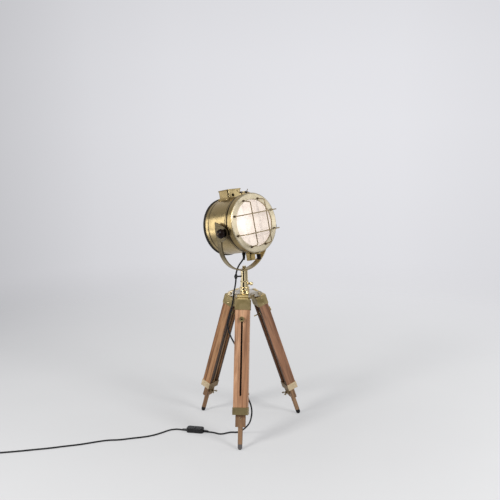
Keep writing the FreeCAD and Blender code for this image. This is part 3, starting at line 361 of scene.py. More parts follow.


def frosted_glass(name):
    """Milky door glass, warm in the middle, that glows as painted light, with a painted reflection
    at the door's left.
    """
    shade = Shade(name)
    place = shade.place()
    ripple = shade.noise(place, 34.0, 3.0, 0.5, 0.3)
    grain = shade.noise(place, 600.0, 3.0, 0.6)
    shade.into(shade.ramp(ripple, GLASS_TONES), "Base Color")
    # The glow is painted light, brightest at the painted reflection's middle.
    patch = Matrix.Translation(drum_point(*GLOW_MIDDLE)) @ HEAD.to_3x3().to_4x4()
    reach = shade.length(shade.place(patch, GLOW_STRETCH))
    shade.into(shade.ramp(reach, GLASS_PAINTED_LIGHT), "Emission Color")
    first = shade.bump(ripple, 0.25, 0.002)
    shade.into(shade.bump(grain, 0.15, 0.0003, first), "Normal")
    shade.set(Roughness=0.3, Coat_Weight=0.5, Coat_Roughness=0.2, Emission_Strength=0.9)
    return shade.material


# ---------------------------------------------------------------- painted light and shade
# Each pair is where a change starts and ends, on the piece's own axes.
RAIL_INWARD = (17.5, 18.6)
CHANNEL_WIDTH = (-18.0, 18.0)
CHANNEL_FOOT = (-430.0, -424.0)
DRUM_HEIGHT = (DRUM_UP - 110.0, DRUM_UP + 110.0)
DRUM_DEPTH = (RING_FRONT + 20.0, RING_FRONT + 170.0)
RING_FACE = (RING_FRONT + 1.0, RING_FRONT + 3.0)
SKIRT_EDGE = (RING_FRONT + 23.5, RING_FRONT + 25.0)
VENT_SIDE = (-33.0, -30.0)
YOKE_WIDTH = (-116.0, 116.0)
KNUCKLE_FOOT = (-13.0, -9.0)
COLLAR_INWARD = (17.0, 20.0)
COLLAR_FOOT = (-427.5, -426.0)

RAIL_SHADE = (0.055, 0.026, 0.012)
SKIRT_TONE = (0.74, 0.63, 0.40)
SKIRT_EDGE_SHADOW = (0.06, 0.045, 0.03)
VENT_SHADE_TONE = (0.27, 0.24, 0.19)
VENT_BRIGHT = (0.64, 0.62, 0.58)
KNUCKLE_HIGHLIGHT = (2.0, 2.0, 2.0)
COLLAR_DULL = (0.30, 0.26, 0.22)

# Painted shade in the leg's channel: deep, but for two lighter lines.
SHADED_CHANNEL = 0.05
LESS_SHADED_LINE = 0.75
CHANNEL_SHADE_LINES = [(0.09, SHADED_CHANNEL), (0.17, LESS_SHADED_LINE), (0.34, LESS_SHADED_LINE), (0.41, SHADED_CHANNEL), (0.59, SHADED_CHANNEL),
                 (0.66, LESS_SHADED_LINE), (0.83, LESS_SHADED_LINE), (0.91, SHADED_CHANNEL)]
DRUM_LOW_SHADES = [(0.02, 0.66), (0.20, 0.72), (0.30, 0.42), (0.38, 0.50), (0.46, 1.0), (1.0, 1.0)]
DRUM_SKIRT_SHADOW_AND_SEAMS = [(0.0, 0.2), (0.125, 0.2), (0.145, 1.0), (0.163, 1.0), (0.175, 0.4), (0.19, 1.0),
              (0.77, 1.0), (0.785, 0.45), (0.81, 0.45), (0.825, 1.0), (0.92, 1.0), (1.0, 0.5)]
RING_FACE_SHADES = [(0.0, 0.60), (0.22, 0.62), (0.42, 0.94), (0.55, 1.0), (0.76, 0.74), (1.0, 0.80)]
YOKE_SHADES_AND_HIGHLIGHT = [(0.0, 0.34), (0.03, 0.34), (0.10, 0.80), (0.50, 0.88), (0.75, 1.3), (1.0, 1.7)]


def rail_inward_shade(shade, matrix, colour):
    """The rails' inward faces are darkened with painted shade."""
    return shade.mix(shade.along(matrix, "Y", *RAIL_INWARD), colour, RAIL_SHADE)


def channel_shade(shade, matrix, colour):
    """The part of the inner leg in the channel is darkened with painted shade, but for two lighter
    lines with less of it.
    """
    lines = shade.ramp(shade.along(matrix, "X", *CHANNEL_WIDTH), CHANNEL_SHADE_LINES)
    channel_shaded = shade.mix(1.0, colour, lines, "MULTIPLY")
    return shade.mix(shade.along(matrix, "Z", *CHANNEL_FOOT), colour, channel_shaded)


def drum_low_shade(shade):
    """The drum is darker below the middle, as painted shade."""
    return shade.ramp(shade.along(HEAD, "Z", *DRUM_HEIGHT), DRUM_LOW_SHADES)


def drum_shade_and_seams(shade):
    """A painted shadow just behind the door's skirt, and darker bands at the seam grooves and
    towards the back, over the painted shade below the middle.
    """
    skirt_shadow_and_seams = shade.ramp(shade.along(HEAD, "Y", *DRUM_DEPTH), DRUM_SKIRT_SHADOW_AND_SEAMS)
    return shade.mix(1.0, drum_low_shade(shade), skirt_shadow_and_seams, "MULTIPLY")


def ring_shade_and_skirt_shadow(shade):
    """The ring's face is darker at its top and foot as painted shade, its skirt is like the drum
    with its painted shade, and the skirt's rear edge is a painted shadow.
    """
    face = shade.ramp(shade.along(HEAD, "Z", *DRUM_HEIGHT), RING_FACE_SHADES)
    skirt = shade.mix(1.0, SKIRT_TONE, drum_low_shade(shade), "MULTIPLY")
    front = shade.mix(shade.along(HEAD, "Y", *RING_FACE), face, skirt)
    return shade.mix(shade.along(HEAD, "Y", *SKIRT_EDGE), front, SKIRT_EDGE_SHADOW)


def vent_side_shade(shade):
    """The vent's left side is darker than the rest of it, as painted shade."""
    return shade.mix(shade.along(HEAD, "X", *VENT_SIDE), VENT_SHADE_TONE, VENT_BRIGHT)


def yoke_shade_and_highlight(shade):
    """Painted shade makes the left arm dull outside, and a painted highlight brightens the right
    arm inside.
    """
    return shade.ramp(shade.along(HEAD, "X", *YOKE_WIDTH), YOKE_SHADES_AND_HIGHLIGHT)


def cap_knuckle_highlight(leg):
    """The hinge knuckle over the cap is brightened with a painted highlight."""
    def light_and_shade(shade):
        return shade.mix(shade.along(leg_matrix(leg), "Z", *KNUCKLE_FOOT), WHITE, KNUCKLE_HIGHLIGHT)
    return light_and_shade


def collar_lit_and_shaded(leg):
    """A side collar is a paler copy of the brass as painted light, with painted shade on the inward
    face, and dull on the tab.
    """
    def light_and_shade(shade):
        matrix = leg_matrix(leg)
        face = shade.mix(shade.along(matrix, "Y", *COLLAR_INWARD), WHITE, COLLAR_DULL)
        return shade.mix(shade.along(matrix, "Z", *COLLAR_FOOT), COLLAR_DULL, face)
    return light_and_shade


# ---------------------------------------------------------------- the lamp's materials
AROUND_DRUM = (HEAD, (0.05, 1.0, 0.05))
AGED = ((0.50, 0.395, 0.20), (0.23, 0.18, 0.078), 0.40, 0.85)
# A paler copy of the aged brass, as painted light on the side collars.
SIDE_COLLAR_LIT = ((0.86, 0.70, 0.47), (0.62, 0.49, 0.31), 0.42, 0.6)

drum_brass = brass("drum_brass", (0.64, 0.49, 0.245), (0.40, 0.29, 0.125), 0.26, 0.4,
                   brush=AROUND_DRUM, light_and_shade=drum_shade_and_seams)
ring_brass = brass("ring_brass", (0.76, 0.67, 0.49), (0.58, 0.50, 0.34), 0.34, 0.4,
                   light_and_shade=ring_shade_and_skirt_shadow)
yoke_brass = brass("yoke_brass", (0.50, 0.40, 0.23), (0.28, 0.22, 0.12), 0.28, 0.6,
                   light_and_shade=yoke_shade_and_highlight)
box_brass = brass("box_brass", (0.60, 0.48, 0.25), (0.34, 0.26, 0.13), 0.26, 0.5)
vent_brass = brass("vent_brass", (0.66, 0.54, 0.30), (0.40, 0.31, 0.16), 0.26, 0.5,
                   light_and_shade=vent_side_shade)
latch_brass = brass("latch_brass", (0.30, 0.22, 0.09), (0.16, 0.11, 0.045), 0.28, 0.5)
rod_brass = brass("rod_brass", (0.44, 0.35, 0.21), (0.22, 0.17, 0.10), 0.24, 0.5)
aged_brass = brass("aged_brass", *AGED)
wing_brass = brass("wing_brass", (0.30, 0.23, 0.13), (0.14, 0.10, 0.06), 0.34, 0.7)
bright_brass = brass("bright_brass", (0.84, 0.70, 0.42), (0.56, 0.44, 0.22), 0.08, 0.3, coat=0.2)
hub_metal = brass("hub_metal", (0.70, 0.66, 0.58), (0.46, 0.41, 0.33), 0.32, 0.5)
dark_bronze = brass("dark_bronze", (0.13, 0.085, 0.055), (0.06, 0.045, 0.03), 0.36, 0.6)
bolt_metal = brass("bolt_metal", (0.72, 0.60, 0.38), (0.30, 0.23, 0.13), 0.22, 0.5)
pin_metal = brass("pin_metal", (0.75, 0.74, 0.72), (0.55, 0.54, 0.52), 0.2, 0.3)
glass_white = frosted_glass("door_glass_white")
bulb_white = plain("bulb_white", (0.9, 0.88, 0.84), 0.25, 0.03, 60.0, 0.03)
holder_white = plain("holder_white", (0.82, 0.80, 0.74), 0.3, 0.05, 90.0, 0.05)
rim_black = plain("rim_black", (0.022, 0.018, 0.012), 0.38, 0.1, 200.0, 0.12)
knob_black = plain("knob_black", (0.008, 0.004, 0.003), 0.3, 0.1, 120.0, 0.1,
                   Specular_IOR_Level=0.1)
cord_black = plain("cord_black", (0.010, 0.010, 0.011), 0.45, 0.08, 300.0, 0.08,
                   Specular_IOR_Level=0.25)
switch_black = plain("switch_black", (0.011, 0.011, 0.012), 0.25, 0.08, 260.0, 0.05,
                     Specular_IOR_Level=0.3)
rubber_black = plain("rubber_black", (0.010, 0.009, 0.009), 0.7, 0.12, 340.0, 0.25,
                     Specular_IOR_Level=0.2)
rubber_grey = plain("rubber_grey", (0.095, 0.085, 0.083), 0.68, 0.18, 300.0, 0.25)
# Dark for the grooves, and for the ring of painted shadow behind the door.
groove_and_shadow_dark = plain("groove_and_shadow_dark", (0.035, 0.024, 0.012), 0.5, 0.1, 200.0, 0.1)

# Each wood is dark, middle and light. The legs' woods differ as painted light and shade: the front
# leg is lightest and the right leg darkest.
LEG_WOODS_LIT_AND_SHADED = {
    "front": ((0.30, 0.145, 0.075), (0.56, 0.305, 0.170), (0.76, 0.46, 0.275)),
    "left": ((0.19, 0.078, 0.030), (0.41, 0.205, 0.092), (0.62, 0.36, 0.19)),
    "right": ((0.17, 0.075, 0.036), (0.33, 0.163, 0.090), (0.47, 0.255, 0.150)),
}
PEG_WOOD = ((0.15, 0.075, 0.036), (0.29, 0.165, 0.085), (0.42, 0.26, 0.15))

LOOKS = {
    "drum": drum_brass, "back_cover": drum_brass, "door_ring": ring_brass, "yoke": yoke_brass,
    "vent_box": vent_brass, "vent_lid": vent_brass, "latch_block": latch_brass,
    "hinge_bracket": box_brass, "hinge_pin": rod_brass, "guard_cage": rod_brass,
    "guard_nuts": dark_bronze, "pivot_studs": yoke_brass, "yoke_nut": bright_brass,
    "column_pole": bright_brass, "column_socket": bright_brass, "column_screw": bright_brass,
    "hub_plate": hub_metal, "hinge_bolts": bolt_metal, "back_rim": rim_black,
    "glass_seal": rubber_black, "door_glass": glass_white, "bulb": bulb_white,
    "lampholder": holder_white, "latch_screw": knob_black, "tilt_knob_left": knob_black,
    "tilt_knob_right": knob_black, "cord_gland": rubber_black, "pole_clip": cord_black,
    "cable_tie": cord_black, "switch_body": switch_black, "switch_rocker": switch_black,
    "plug_body": switch_black, "plug_pins": pin_metal,
}


def paint(node, material):
    slots = NODES[node].data.materials
    for index in range(len(slots)):
        slots[index] = material
    if not len(slots):
        slots.append(material)


def soften(piece):
    """Even shading on round faces, crisp on edges, through a modifier only."""
    weighted = piece.modifiers.new("weighted", "WEIGHTED_NORMAL")
    weighted.keep_sharp = True


def paint_nodes():
    for leg in LEGS:
        matrix = leg_matrix(leg)
        rails = wood("leg_wood_" + leg, matrix, *LEG_WOODS_LIT_AND_SHADED[leg], hollow_shade=rail_inward_shade)
        peg = wood("peg_wood_" + leg, matrix, *PEG_WOOD, rough=0.5, hollow_shade=channel_shade)
        paint("outer_leg_" + leg, rails)
        paint("inner_leg_" + leg, peg)
        paint("leg_cap_" + leg, brass("cap_brass_" + leg, *AGED, light_and_shade=cap_knuckle_highlight(leg)))
        paint("leg_knob_" + leg, aged_brass)
        paint("leg_collar_" + leg, aged_brass)
        # The side collars get a paler copy of the brass as painted light, with painted shade on the
        # inward face.
        if leg != "front":
            collar = brass("collar_brass_" + leg, *SIDE_COLLAR_LIT, light_and_shade=collar_lit_and_shaded(leg))
            paint("leg_collar_" + leg, collar)
        paint("wing_screw_" + leg, wing_brass)
        paint("rubber_foot_" + leg, rubber_grey if leg == "front" else rubber_black)
    for node, material in LOOKS.items():
        paint(node, material)
    for node in NODES.values():
        soften(node)


# ---------------------------------------------------------------- cords
HEAD_CORD = [(0, 0, 671.5), (0, 0, 659), (-7.5, -0.7, 646), (-20, -2.5, 630), (-26.8, -7.0, 612),
             (-30.0, -9.0, 600.0), (-31.0, -9.5, 579.0)]
COLUMN_CORD = [(-31.0, -9.5, 579.0), (-31.57, -9.785, 567.03), (-34.5, -16.5, 549),
               (-37.8, -26, 528), (-39.5, -31.5, 508), (-42.5, -34.5, 490)]
LEG_CORD = [(-42.5, -34.5, 490), (-45, -37, 475), (-53, -31, 455), (-61, -20, 434),
            (-66, -13.5, 411), (-64, -18, 387), (-54, -29, 362), (-38, -48, 342), (-20, -70, 322),
            (-2, -86, 298)]
LEG_CORD_IN_LEG = [(8, 27, -262), (17, 22.6, -300), (22, 22.1, -330), (22, 22.1, -354)]
DROP_CORD_IN_LEG = [(22, 22.1, -354), (22, 22.1, -368)]
DROP_CORD = [(33, -148, 142), (37, -146, 112), (31.7, -136.7, 80), (23, -121.6, 54), (9, -106, 32),
             (-7, -94, 14), (-25, -91, FLOOR_Z), (-38, -90.8, FLOOR_Z)]
NEAR_CORD = [(-38, -90.8), (-52, -90.6), (-66, -99), (-80, -108.5), (-95, -109.5), (-115.9, -99),
             (-135.1, -95.4)]
SWITCH_RIGHT = Vector((-155.9, -93.2))
SWITCH_LEFT = Vector((-221.2, -86.5))
SWITCH_LEAD = 16.0          # how far the cord runs straight out of the switch
FAR_CORD = [(-262, -79), (-289, -88), (-315.4, -118), (-346, -144), (-382.3, -160), (-420, -172),
            (-456.4, -187), (-500.9, -192), (-549, -214), (-593, -236), (-637.8, -250.5),
            (-692, -272), (-747.7, -288.2), (-803, -306)]
CORD_EDGE = Vector((-858.6, -320.1))
COIL_LEAD = 70.0
COIL_INNER_R = 25.0
COIL_PITCH = 7.2
COIL_LIFT = 6.5
COIL_RISE_TURN = 0.25
COIL_WHOLE_TURNS = 4
COIL_POINTS_PER_TURN = 16
COIL_STRAIGHT = 6.0
COIL_LEAVES = 270.0
COIL_TAIL = 42.0
PLUG_MIDDLE_Z = 6.85


def flat(points):
    """Points of a cord that lies on the floor."""
    return [own(x, y, FLOOR_Z) for x, y in points]


def heading(angle):
    return Vector((math.cos(math.radians(angle)), math.sin(math.radians(angle))))


def coil_route():
    """The far end of the cord: one coil of two layers, then down into the plug."""
    run = CORD_EDGE - Vector(FAR_CORD[-1])
    arrives = math.degrees(math.atan2(run.y, run.x)) % 360.0
    start = CORD_EDGE + heading(arrives) * COIL_LEAD
    turns = COIL_WHOLE_TURNS + ((COIL_LEAVES - arrives) % 360.0) / 360.0
    layer = (turns - COIL_RISE_TURN) / 2.0
    outer = COIL_INNER_R + COIL_PITCH * layer
    centre = start + heading(arrives + 90.0) * outer
    lead = start - heading(arrives) * COIL_STRAIGHT
    points = [own(lead.x, lead.y, FLOOR_Z)]
    count = int(turns * COIL_POINTS_PER_TURN)
    for step in range(count + 1):
        at = turns * step / count
        climb = min(max((at - layer) / COIL_RISE_TURN, 0.0), 1.0)
        inward = layer - at if at < layer else max(at - layer - COIL_RISE_TURN, 0.0)
        radius = COIL_INNER_R + COIL_PITCH * inward
        spot = centre + heading(arrives - 90.0 + 360.0 * at) * radius
        lift = COIL_LIFT * climb * climb * (3.0 - 2.0 * climb)
        points.append(own(spot.x, spot.y, FLOOR_Z + lift))
    end = centre + heading(arrives - 90.0 + 360.0 * turns) * outer
    out = heading(COIL_LEAVES)
    over = end + out * COIL_STRAIGHT
    low = end + out * (COIL_STRAIGHT + COIL_TAIL)
    entry = end + out * (COIL_STRAIGHT * 2 + COIL_TAIL)
    points.append(own(over.x, over.y, FLOOR_Z + COIL_LIFT))
    points.append(own(low.x, low.y, PLUG_MIDDLE_Z))
    points.append(own(entry.x, entry.y, PLUG_MIDDLE_Z))
    return points


def spline(name, points):
    """A smooth cord line: one open NURBS spline through its control points."""
    data = bpy.data.curves.new(name, "CURVE")
    data.dimensions = "3D"
    data.resolution_u = 8
    line = data.splines.new("NURBS")
    line.points.add(len(points) - 1)
    for control, point in zip(line.points, points):
        control.co = (*point, 1.0)
    line.order_u = 3
    line.use_endpoint_u = True
    return add_object(name, data)


def line_of(piece):
    """Points along a curve that has no bevel yet."""
    bpy.context.view_layer.update()
    mesh = bpy.data.meshes.new_from_object(piece)
    points = [vertex.co.copy() for vertex in mesh.vertices]
    bpy.data.meshes.remove(mesh)
    return points


def thicken(piece):
    """Give a cord line its round section and its material."""
    piece.data.bevel_depth = CORD_R * MM
    piece.data.bevel_resolution = 5
    piece.data.use_fill_caps = True
    piece.data.materials.append(cord_black)


def smooth(mesh):
    for polygon in mesh.polygons:
        polygon.use_smooth = True


def lying_cord(name, points, nodes):
    """A stretch on the floor, as a curve."""
    piece = spline(name, points)
    thicken(piece)
    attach(piece, "root")
    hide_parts(*nodes)
    return piece


def hanging_cord(name, points, node):
    """A stretch that runs between two bodies, as a mesh tube made from its line."""
    guide = spline(name + "_line", points)
    path = line_of(guide)
    thicken(guide)
    bpy.context.view_layer.update()
    mesh = bpy.data.meshes.new_from_object(guide)
    mesh.name = name
    piece = add_object(name, mesh)
    bpy.data.objects.remove(guide)
    smooth(mesh)
    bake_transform(piece)
    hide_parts(node)


def make_hanging_cords():
    head = [own(*point) for point in HEAD_CORD]
    hanging_cord("cord_to_head", head, "cord_head")
    column = [own(*point) for point in COLUMN_CORD]
    # Its line bends only above the leg caps, clear of them.
    hanging_cord("cord_by_column", column,
                 "cord_column")
    leg = [own(*point) for point in LEG_CORD]
    leg += [leg_point("front", *point) for point in LEG_CORD_IN_LEG]
    hanging_cord("cord_to_leg", leg, "cord_leg")
    drop = [leg_point("front", *point) for point in DROP_CORD_IN_LEG]
    drop += [own(*point) for point in DROP_CORD]
    hanging_cord("cord_to_floor", drop, "cord_drop")


def make_lying_cords():
    lead = SWITCH_LEFT + (SWITCH_LEFT - SWITCH_RIGHT).normalized() * SWITCH_LEAD
    near_line = flat(NEAR_CORD) + flat([SWITCH_RIGHT])
    near = lying_cord("cord_near", near_line, ["cord_floor"])
    far_line = flat([SWITCH_LEFT, lead]) + flat(FAR_CORD) + coil_route()
    far = lying_cord("cord_far", far_line, ["cord_floor", "cord_coil"])


make_hanging_cords()
make_lying_cords()
paint_nodes()


# ---------------------------------------------------------------- small pieces
def finish_mesh(name, shape, material, body):
    """Turn a shape into a piece that moves with a body."""
    mesh = bpy.data.meshes.new(name)
    shape.to_mesh(mesh)
    shape.free()
    mesh.materials.append(material)
    piece = add_object(name, mesh)
    smooth(mesh)
    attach(piece, body)


def lathe(profile, base, axis, steps=32):
    """Turn (radius, height) pairs about an axis that starts at base."""
    shape = bmesh.new()
    axis = Vector(axis).normalized()
    side = axis.orthogonal().normalized()
    other = axis.cross(side)
    rings = []
    for radius, height in profile:
        ring = []
        for step in range(steps):
            angle = 2.0 * math.pi * step / steps
            out = side * math.cos(angle) + other * math.sin(angle)
            ring.append(shape.verts.new(base + axis * height * MM + out * radius * MM))
        rings.append(ring)
    for lower, upper in zip(rings, rings[1:]):
        for step in range(steps):
            after = (step + 1) % steps
            shape.faces.new((lower[step], lower[after], upper[after], upper[step]))
    shape.faces.new(list(reversed(rings[0])))
    shape.faces.new(rings[-1])
    return shape


SCREW_R = 2.2
RIM_RIVET_R = 2.0
LEG_PIN_R = 3.2
LEG_SIDE = 28.0
CAP_SCREW_ROWS = {"high": -20.0, "low": -41.0}
COLLAR_SCREW = (-6, -410.0)         # Y and Z on the leg's own axes
LEG_PIN = (0, -6.95, -440.0)


def domed_head(name, place, out, radius, body, material=bright_brass):
    """A domed screw or rivet head, seated on a face."""
    dome = [(radius, -0.2), (radius, 0.25), (radius * 0.86, 0.62), (radius * 0.55, 0.88),
            (radius * 0.2, 0.98)]
    finish_mesh(name, lathe(dome, place, out, 20), material, body)


def add_leg_screws():
    """Screws through the brass cap and collar into the wood, and a pin in the inner leg's front."""
    for leg in LEGS:
        for side, tag in ((-1, "a"), (1, "b")):
            outward = leg_way(leg, side, 0, 0)
            for row, height in CAP_SCREW_ROWS.items():
                name = "cap_screw_%s_%s_%s" % (leg, row, tag)
                spot = leg_point(leg, side * LEG_SIDE, 0, height)
                domed_head(name, spot, outward, SCREW_R, "leg_" + leg)
            spot = leg_point(leg, side * LEG_SIDE, *COLLAR_SCREW)
            domed_head("collar_screw_%s_%s" % (leg, tag), spot, outward, SCREW_R, "leg_" + leg)
        front = leg_way(leg, 0, -1, 0)
        spot = leg_point(leg, *LEG_PIN)
        domed_head("leg_pin_" + leg, spot, front, LEG_PIN_R, "foot_" + leg, bolt_metal)


GLAND_MOUTH_Z = 671.8
GLAND_FLANGE = [(6.4, -2.0), (6.4, 0.5)]
GLAND_RIBS = 6
RIB_PITCH = 3.4
RIB_R = 5.9
RIB_TAPER = 0.36
RIB_GROOVE = 0.8
SWITCH_SLEEVE = [(5.0, 0), (4.9, 3), (4.5, 8), (4.1, 14), (3.7, 20), (3.2, 20.4)]
SWITCH_SLEEVE_Z = 4.6
SWITCH_SLEEVE_IN = 1.5
FLOOR_GAP = 0.2


def add_gland_sleeve():
    """The ribbed, tapered sleeve where the cord leaves the head."""
    profile = list(GLAND_FLANGE)
    for step in range(GLAND_RIBS):
        base = 0.5 + step * RIB_PITCH
        radius = RIB_R - step * RIB_TAPER
        profile += [(radius, base + 0.4), (radius, base + 2.4), (radius - RIB_GROOVE, base + 2.6),
                    (radius - RIB_GROOVE, base + RIB_PITCH)]
    shape = lathe(profile, own(0, 0, GLAND_MOUTH_Z), (0, 0, -1))
    finish_mesh("gland_sleeve", shape, rubber_black, "head")


def add_switch_sleeves():
    """The tapered sleeves at both ends of the switch, kept just over the floor."""
    along = (SWITCH_LEFT - SWITCH_RIGHT).normalized()
    axis = Vector((along.x, along.y, 0))
    for name, end, way in (("left", SWITCH_LEFT, 1.0), ("right", SWITCH_RIGHT, -1.0)):
        base = own(end.x, end.y, SWITCH_SLEEVE_Z) - axis * way * SWITCH_SLEEVE_IN * MM
        shape = lathe(SWITCH_SLEEVE, base, axis * way, 24)
        for vertex in shape.verts:
            vertex.co.z = max(vertex.co.z, FLOOR_GAP * MM)
        finish_mesh("switch_sleeve_" + name, shape, switch_black, "root")


KNOB_END = 141.8
KNOB_CAP = [(4.6, -1.0), (4.6, 0.6), (4.0, 1.2), (2.6, 1.5), (1.0, 1.6)]
CLAMP_END = (0, -27.2, -83.75)
CLAMP_CAP = [(3.4, 0), (3.4, 1.2), (2.9, 1.8), (1.0, 2.0)]


def add_knob_centres():
    """Bronze bolt ends in the middle of the black tilt knobs, and on the leg clamps."""
    for side, name in ((-1, "left"), (1, "right")):
        base = HEAD @ (Vector((side * KNOB_END, 0, 0)) * MM)
        shape = lathe(KNOB_CAP, base, head_way(side, 0, 0), 28)
        finish_mesh("knob_cap_" + name, shape, dark_bronze, "tilt_knob_" + name)
    for leg in LEGS:
        shape = lathe(CLAMP_CAP, leg_point(leg, *CLAMP_END), leg_way(leg, 0, -1, 0), 24)
        finish_mesh("clamp_centre_" + leg, shape, dark_bronze, "knob_" + leg)


RING_STEPS = 128
GROOVES = {"seam_front": (34.0, 36.0), "seam_second": (45.0, 47.0), "seam_back": (139.0, 141.0)}
GROOVE_LOW_R = DRUM_R - 0.68
GROOVE_TOP_R = DRUM_R - 0.15
# A dark ring that paints the shadow under the door's skirt.
DOOR_GAP_SHADOW_RING = [(DRUM_R + 0.05, 29.0), (DRUM_R + 2.6, 29.0), (DRUM_R + 2.6, 31.5),
             (DRUM_R + 0.05, 32.5)]
BACK_BEAD = [(DRUM_R, 157.0), (DRUM_R + 1.6, 157.6), (DRUM_R + 2.0, 159.0), (DRUM_R + 1.6, 160.4),
             (DRUM_R, 161.0)]
VENT_RIVET_X = 38.0
VENT_RIVET_DEPTHS = (88.0, 127.0)
RIM_RIVETS = 8
RIM_RIVET_DEPTH = 151.0


def ring_about_drum(name, profile, material):
    """A thin ring from (radius, depth) pairs about the drum axis."""
    shape = bmesh.new()
    loops = []
    for step in range(RING_STEPS):
        angle = 2.0 * math.pi * step / RING_STEPS
        loop = []
        for radius, depth in profile:
            spot = drum_point(radius * math.cos(angle), depth, radius * math.sin(angle))
            loop.append(shape.verts.new(spot))
        loops.append(loop)
    for step in range(RING_STEPS):
        here = loops[step]
        after = loops[(step + 1) % RING_STEPS]
        for index in range(len(profile)):
            follow = (index + 1) % len(profile)
            shape.faces.new((here[index], here[follow], after[follow], after[index]))
    bmesh.ops.recalc_face_normals(shape, faces=shape.faces)
    finish_mesh(name, shape, material, "head")


def add_drum_rings():
    """Dark fills in the drum's grooves, a dark ring behind the door as painted shadow under the
    skirt, and the black bead at the back.
    """
    for name, (start, end) in GROOVES.items():
        profile = [(GROOVE_LOW_R, start), (GROOVE_TOP_R, start + 0.3), (GROOVE_TOP_R, end - 0.3),
                   (GROOVE_LOW_R, end)]
        ring_about_drum(name, profile, groove_and_shadow_dark)
    ring_about_drum("door_gap_shadow", DOOR_GAP_SHADOW_RING, groove_and_shadow_dark)
    ring_about_drum("back_bead", BACK_BEAD, rim_black)


def add_drum_rivets():
    """Rivets that hold the vent, and a ring of them before the back rim."""
    for number, x in enumerate((-VENT_RIVET_X, VENT_RIVET_X)):
        z = math.sqrt(DRUM_R ** 2 - x ** 2)
        for row, depth in enumerate(VENT_RIVET_DEPTHS):
            name = "vent_rivet_%d_%d" % (number, row)
            domed_head(name, drum_point(x, depth, z), head_way(x, 0, z), SCREW_R, "head")
    for step in range(RIM_RIVETS):
        angle = 2.0 * math.pi * (step + 0.5) / RIM_RIVETS
        x = DRUM_R * math.cos(angle)
        z = DRUM_R * math.sin(angle)
        spot = drum_point(x, RIM_RIVET_DEPTH, z)
        domed_head("rim_rivet_%d" % step, spot, head_way(x, 0, z), RIM_RIVET_R, "head")


COLUMN_BEADS = {"bead_top": (569.5, 14.8), "bead_base": (545.5, 18.3)}      # height, radius


def add_column_beads():
    """Turned beads on the socket where the pole goes in, and at its foot."""
    for name, (height, radius) in COLUMN_BEADS.items():
        profile = [(radius - 1.2, -2.2), (radius + 0.3, -1.9), (radius + 0.9, -0.8),
                   (radius + 0.9, 0.8), (radius + 0.3, 1.9), (radius - 1.2, 2.2)]
        shape = lathe(profile, own(0, 0, height), (0, 0, 1), 64)
        finish_mesh(name, shape, bright_brass, "root")


add_leg_screws()
add_gland_sleeve()
add_switch_sleeves()
add_knob_centres()
add_drum_rings()
add_drum_rivets()
add_column_beads()


# ---------------------------------------------------------------- studio floor
# From here on places are in metres, but for those that own() takes.
FLOOR_R = 9.0
FLOOR_ALBEDO = 0.435
FLOOR_GLOW = 0.40
GLOW_NEAR = (0.68, 0.68, 0.695)
GLOW_FAR = (1.10, 1.10, 1.13)
GLOW_LEFT = (0.42, 0.42, 0.44)
GLOW_GROWS = (0.3, 2.2)             # with the distance from the middle
LEFT_DARKENS = (-0.2, -1.9)         # with X
BACK_DARKENS = (-1.3, 0.2)          # with Y
FADES_AROUND = (0.8, 3.6)           # with the distance from the middle
FADES_BEFORE = (-0.8, -1.15)        # with Y


def floor_paper():
    """Pale paper that glows more with distance, is darker at the back left, and fades out."""
    shade = Shade("floor_paper")
    place = shade.place()
    axes = shade.axes(place)
    distance = shade.length(place)
    grain = shade.noise(place, 3.0, 3.0, 0.5)
    tone = shade.ramp(grain, [(0.3, FLOOR_ALBEDO * 0.98), (0.7, FLOOR_ALBEDO)])
    shade.into(tone, "Base Color")
    glow = shade.mix(shade.between(distance, *GLOW_GROWS, "LINEAR"), GLOW_NEAR, GLOW_FAR)
    left = shade.between(axes["X"], *LEFT_DARKENS, "LINEAR")
    back = shade.between(axes["Y"], *BACK_DARKENS)
    glow = shade.mix(shade.pair("MULTIPLY", left, back), glow, GLOW_LEFT)
    shade.into(glow, "Emission Color")
    shade.set(Roughness=0.95, Specular_IOR_Level=0.0, Emission_Strength=FLOOR_GLOW)
    around = shade.between(distance, *FADES_AROUND)
    before = shade.between(axes["Y"], *FADES_BEFORE)
    fade = shade.pair("MAXIMUM", around, before)
    clear = shade.new("ShaderNodeBsdfTransparent")
    surface = shade.mix_shaders(fade, shade.shader.outputs[0], clear.outputs[0])
    shade.feed(surface, shade.nodes["Material Output"].inputs["Surface"])
    return shade.material


def make_floor():
    shape = bmesh.new()
    bmesh.ops.create_circle(shape, cap_ends=True, segments=96, radius=FLOOR_R)
    mesh = bpy.data.meshes.new("floor")
    shape.to_mesh(mesh)
    shape.free()
    mesh.materials.append(floor_paper())
    add_object("floor", mesh)


# ---------------------------------------------------------------- studio backdrop and lights
PAPER_TINT = (0.996, 0.996, 1.018)
SIDEWAYS = [(0.0, 0.30), (0.265, 0.56), (0.338, 0.70), (0.392, 0.752), (0.49, 0.785), (0.55, 0.79),
            (0.61, 0.755), (1.0, 0.6)]
UPRIGHT = [(0.0, 0.90), (0.36, 0.925), (0.415, 0.955), (0.46, 0.985), (0.5, 1.0), (0.545, 0.985),
           (0.58, 0.95), (1.0, 0.7)]
OVERHEAD = [(0.0, 0.08), (0.64, 0.08), (0.76, 0.32), (1.0, 0.42)]
LOW_STRIPS = [(0.0, 0.95), (0.08, 0.95), (0.12, 0.01), (0.40, 0.005), (0.49, 0.01), (0.55, 0.27),
              (0.62, 0.33), (0.82, 0.30), (0.92, 0.03), (1.0, 0.05)]
STRIP_GAIN = 3.0
STRIPS_START = (-0.19, -0.21)       # the direction's Z
PAPER_STARTS = (0.15, 0.8)          # the direction's Y
FILL_COLOUR = (0.96, 0.975, 1.0)
FILL_STRENGTH = 0.46


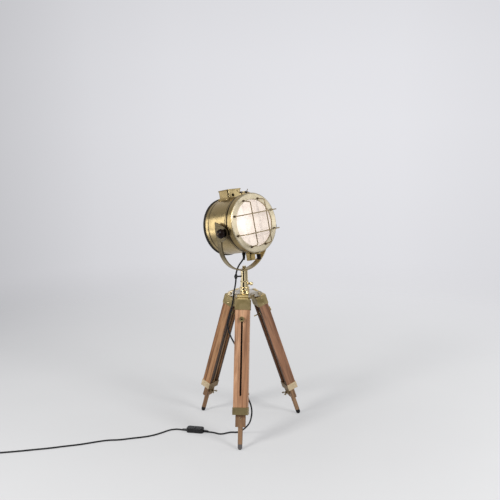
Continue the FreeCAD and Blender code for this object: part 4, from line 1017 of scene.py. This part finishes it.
def make_world():
    """Pale backdrop that darkens to the left, in a dim room, with an even fill light."""
    world = bpy.data.worlds.new("studio")
    bpy.context.scene.world = world
    world.use_nodes = True
    world.node_tree.nodes.clear()
    graph = Graph(world.node_tree)
    way = graph.axes(graph.new("ShaderNodeTexCoord").outputs["Generated"])
    path = graph.new("ShaderNodeLightPath").outputs
    across = graph.between(way["X"], -1.0, 1.0, "LINEAR")
    upward = graph.between(way["Z"], -1.0, 1.0, "LINEAR")

    sideways = graph.ramp(across, SIDEWAYS, PAPER_TINT)
    upright = graph.ramp(upward, UPRIGHT, PAPER_TINT)
    paper = graph.mix(1.0, sideways, upright, "MULTIPLY")

    overhead = graph.ramp(upward, OVERHEAD, PAPER_TINT)
    strips = graph.gain(graph.ramp(across, LOW_STRIPS, PAPER_TINT), STRIP_GAIN)
    room = graph.mix(graph.between(way["Z"], *STRIPS_START), overhead, strips)

    behind = graph.between(way["Y"], *PAPER_STARTS)
    pale = graph.pair("MAXIMUM", behind, path["Is Camera Ray"])
    seen = graph.new("ShaderNodeBackground")
    graph.feed(graph.mix(pale, room, paper), seen.inputs["Color"])
    fill = graph.new("ShaderNodeBackground")
    graph.feed(FILL_COLOUR, fill.inputs["Color"])
    graph.feed(FILL_STRENGTH, fill.inputs["Strength"])

    direct = graph.pair("MAXIMUM", path["Is Camera Ray"], path["Is Glossy Ray"])
    direct = graph.pair("MAXIMUM", direct, path["Is Transmission Ray"])
    light = graph.mix_shaders(direct, fill.outputs[0], seen.outputs[0])
    graph.feed(light, graph.new("ShaderNodeOutputWorld").inputs["Surface"])


def softbox(name, place, aim, size, power, colour=WHITE):
    data = bpy.data.lights.new(name, "AREA")
    data.shape = "RECTANGLE"
    data.size = size[0]
    data.size_y = size[1]
    data.energy = power
    data.color = colour
    light = add_object(name, data)
    light.location = place
    light.rotation_euler = (Vector(aim) - Vector(place)).to_track_quat("-Z", "Y").to_euler()


def make_lights():
    """Two soft keys from the front, and a weak soft light on each side of the drum."""
    middle = own(0, 0, 600)
    head = own(0, 0, 790)
    softbox("key_left", (-2.1, -2.2, 2.5), middle, (0.9, 0.9), 66.0, (1.0, 0.99, 0.97))
    softbox("key_right", (2.5, -1.7, 2.2), middle, (0.9, 0.9), 50.0)
    softbox("side_left", (-2.4, 0.15, 1.0), (0, 0, 1.0), (1.1, 1.0), 7.0)
    softbox("side_right", (2.6, 0.15, 1.25), head, (1.5, 1.5), 10.0)


make_floor()
make_world()
make_lights()
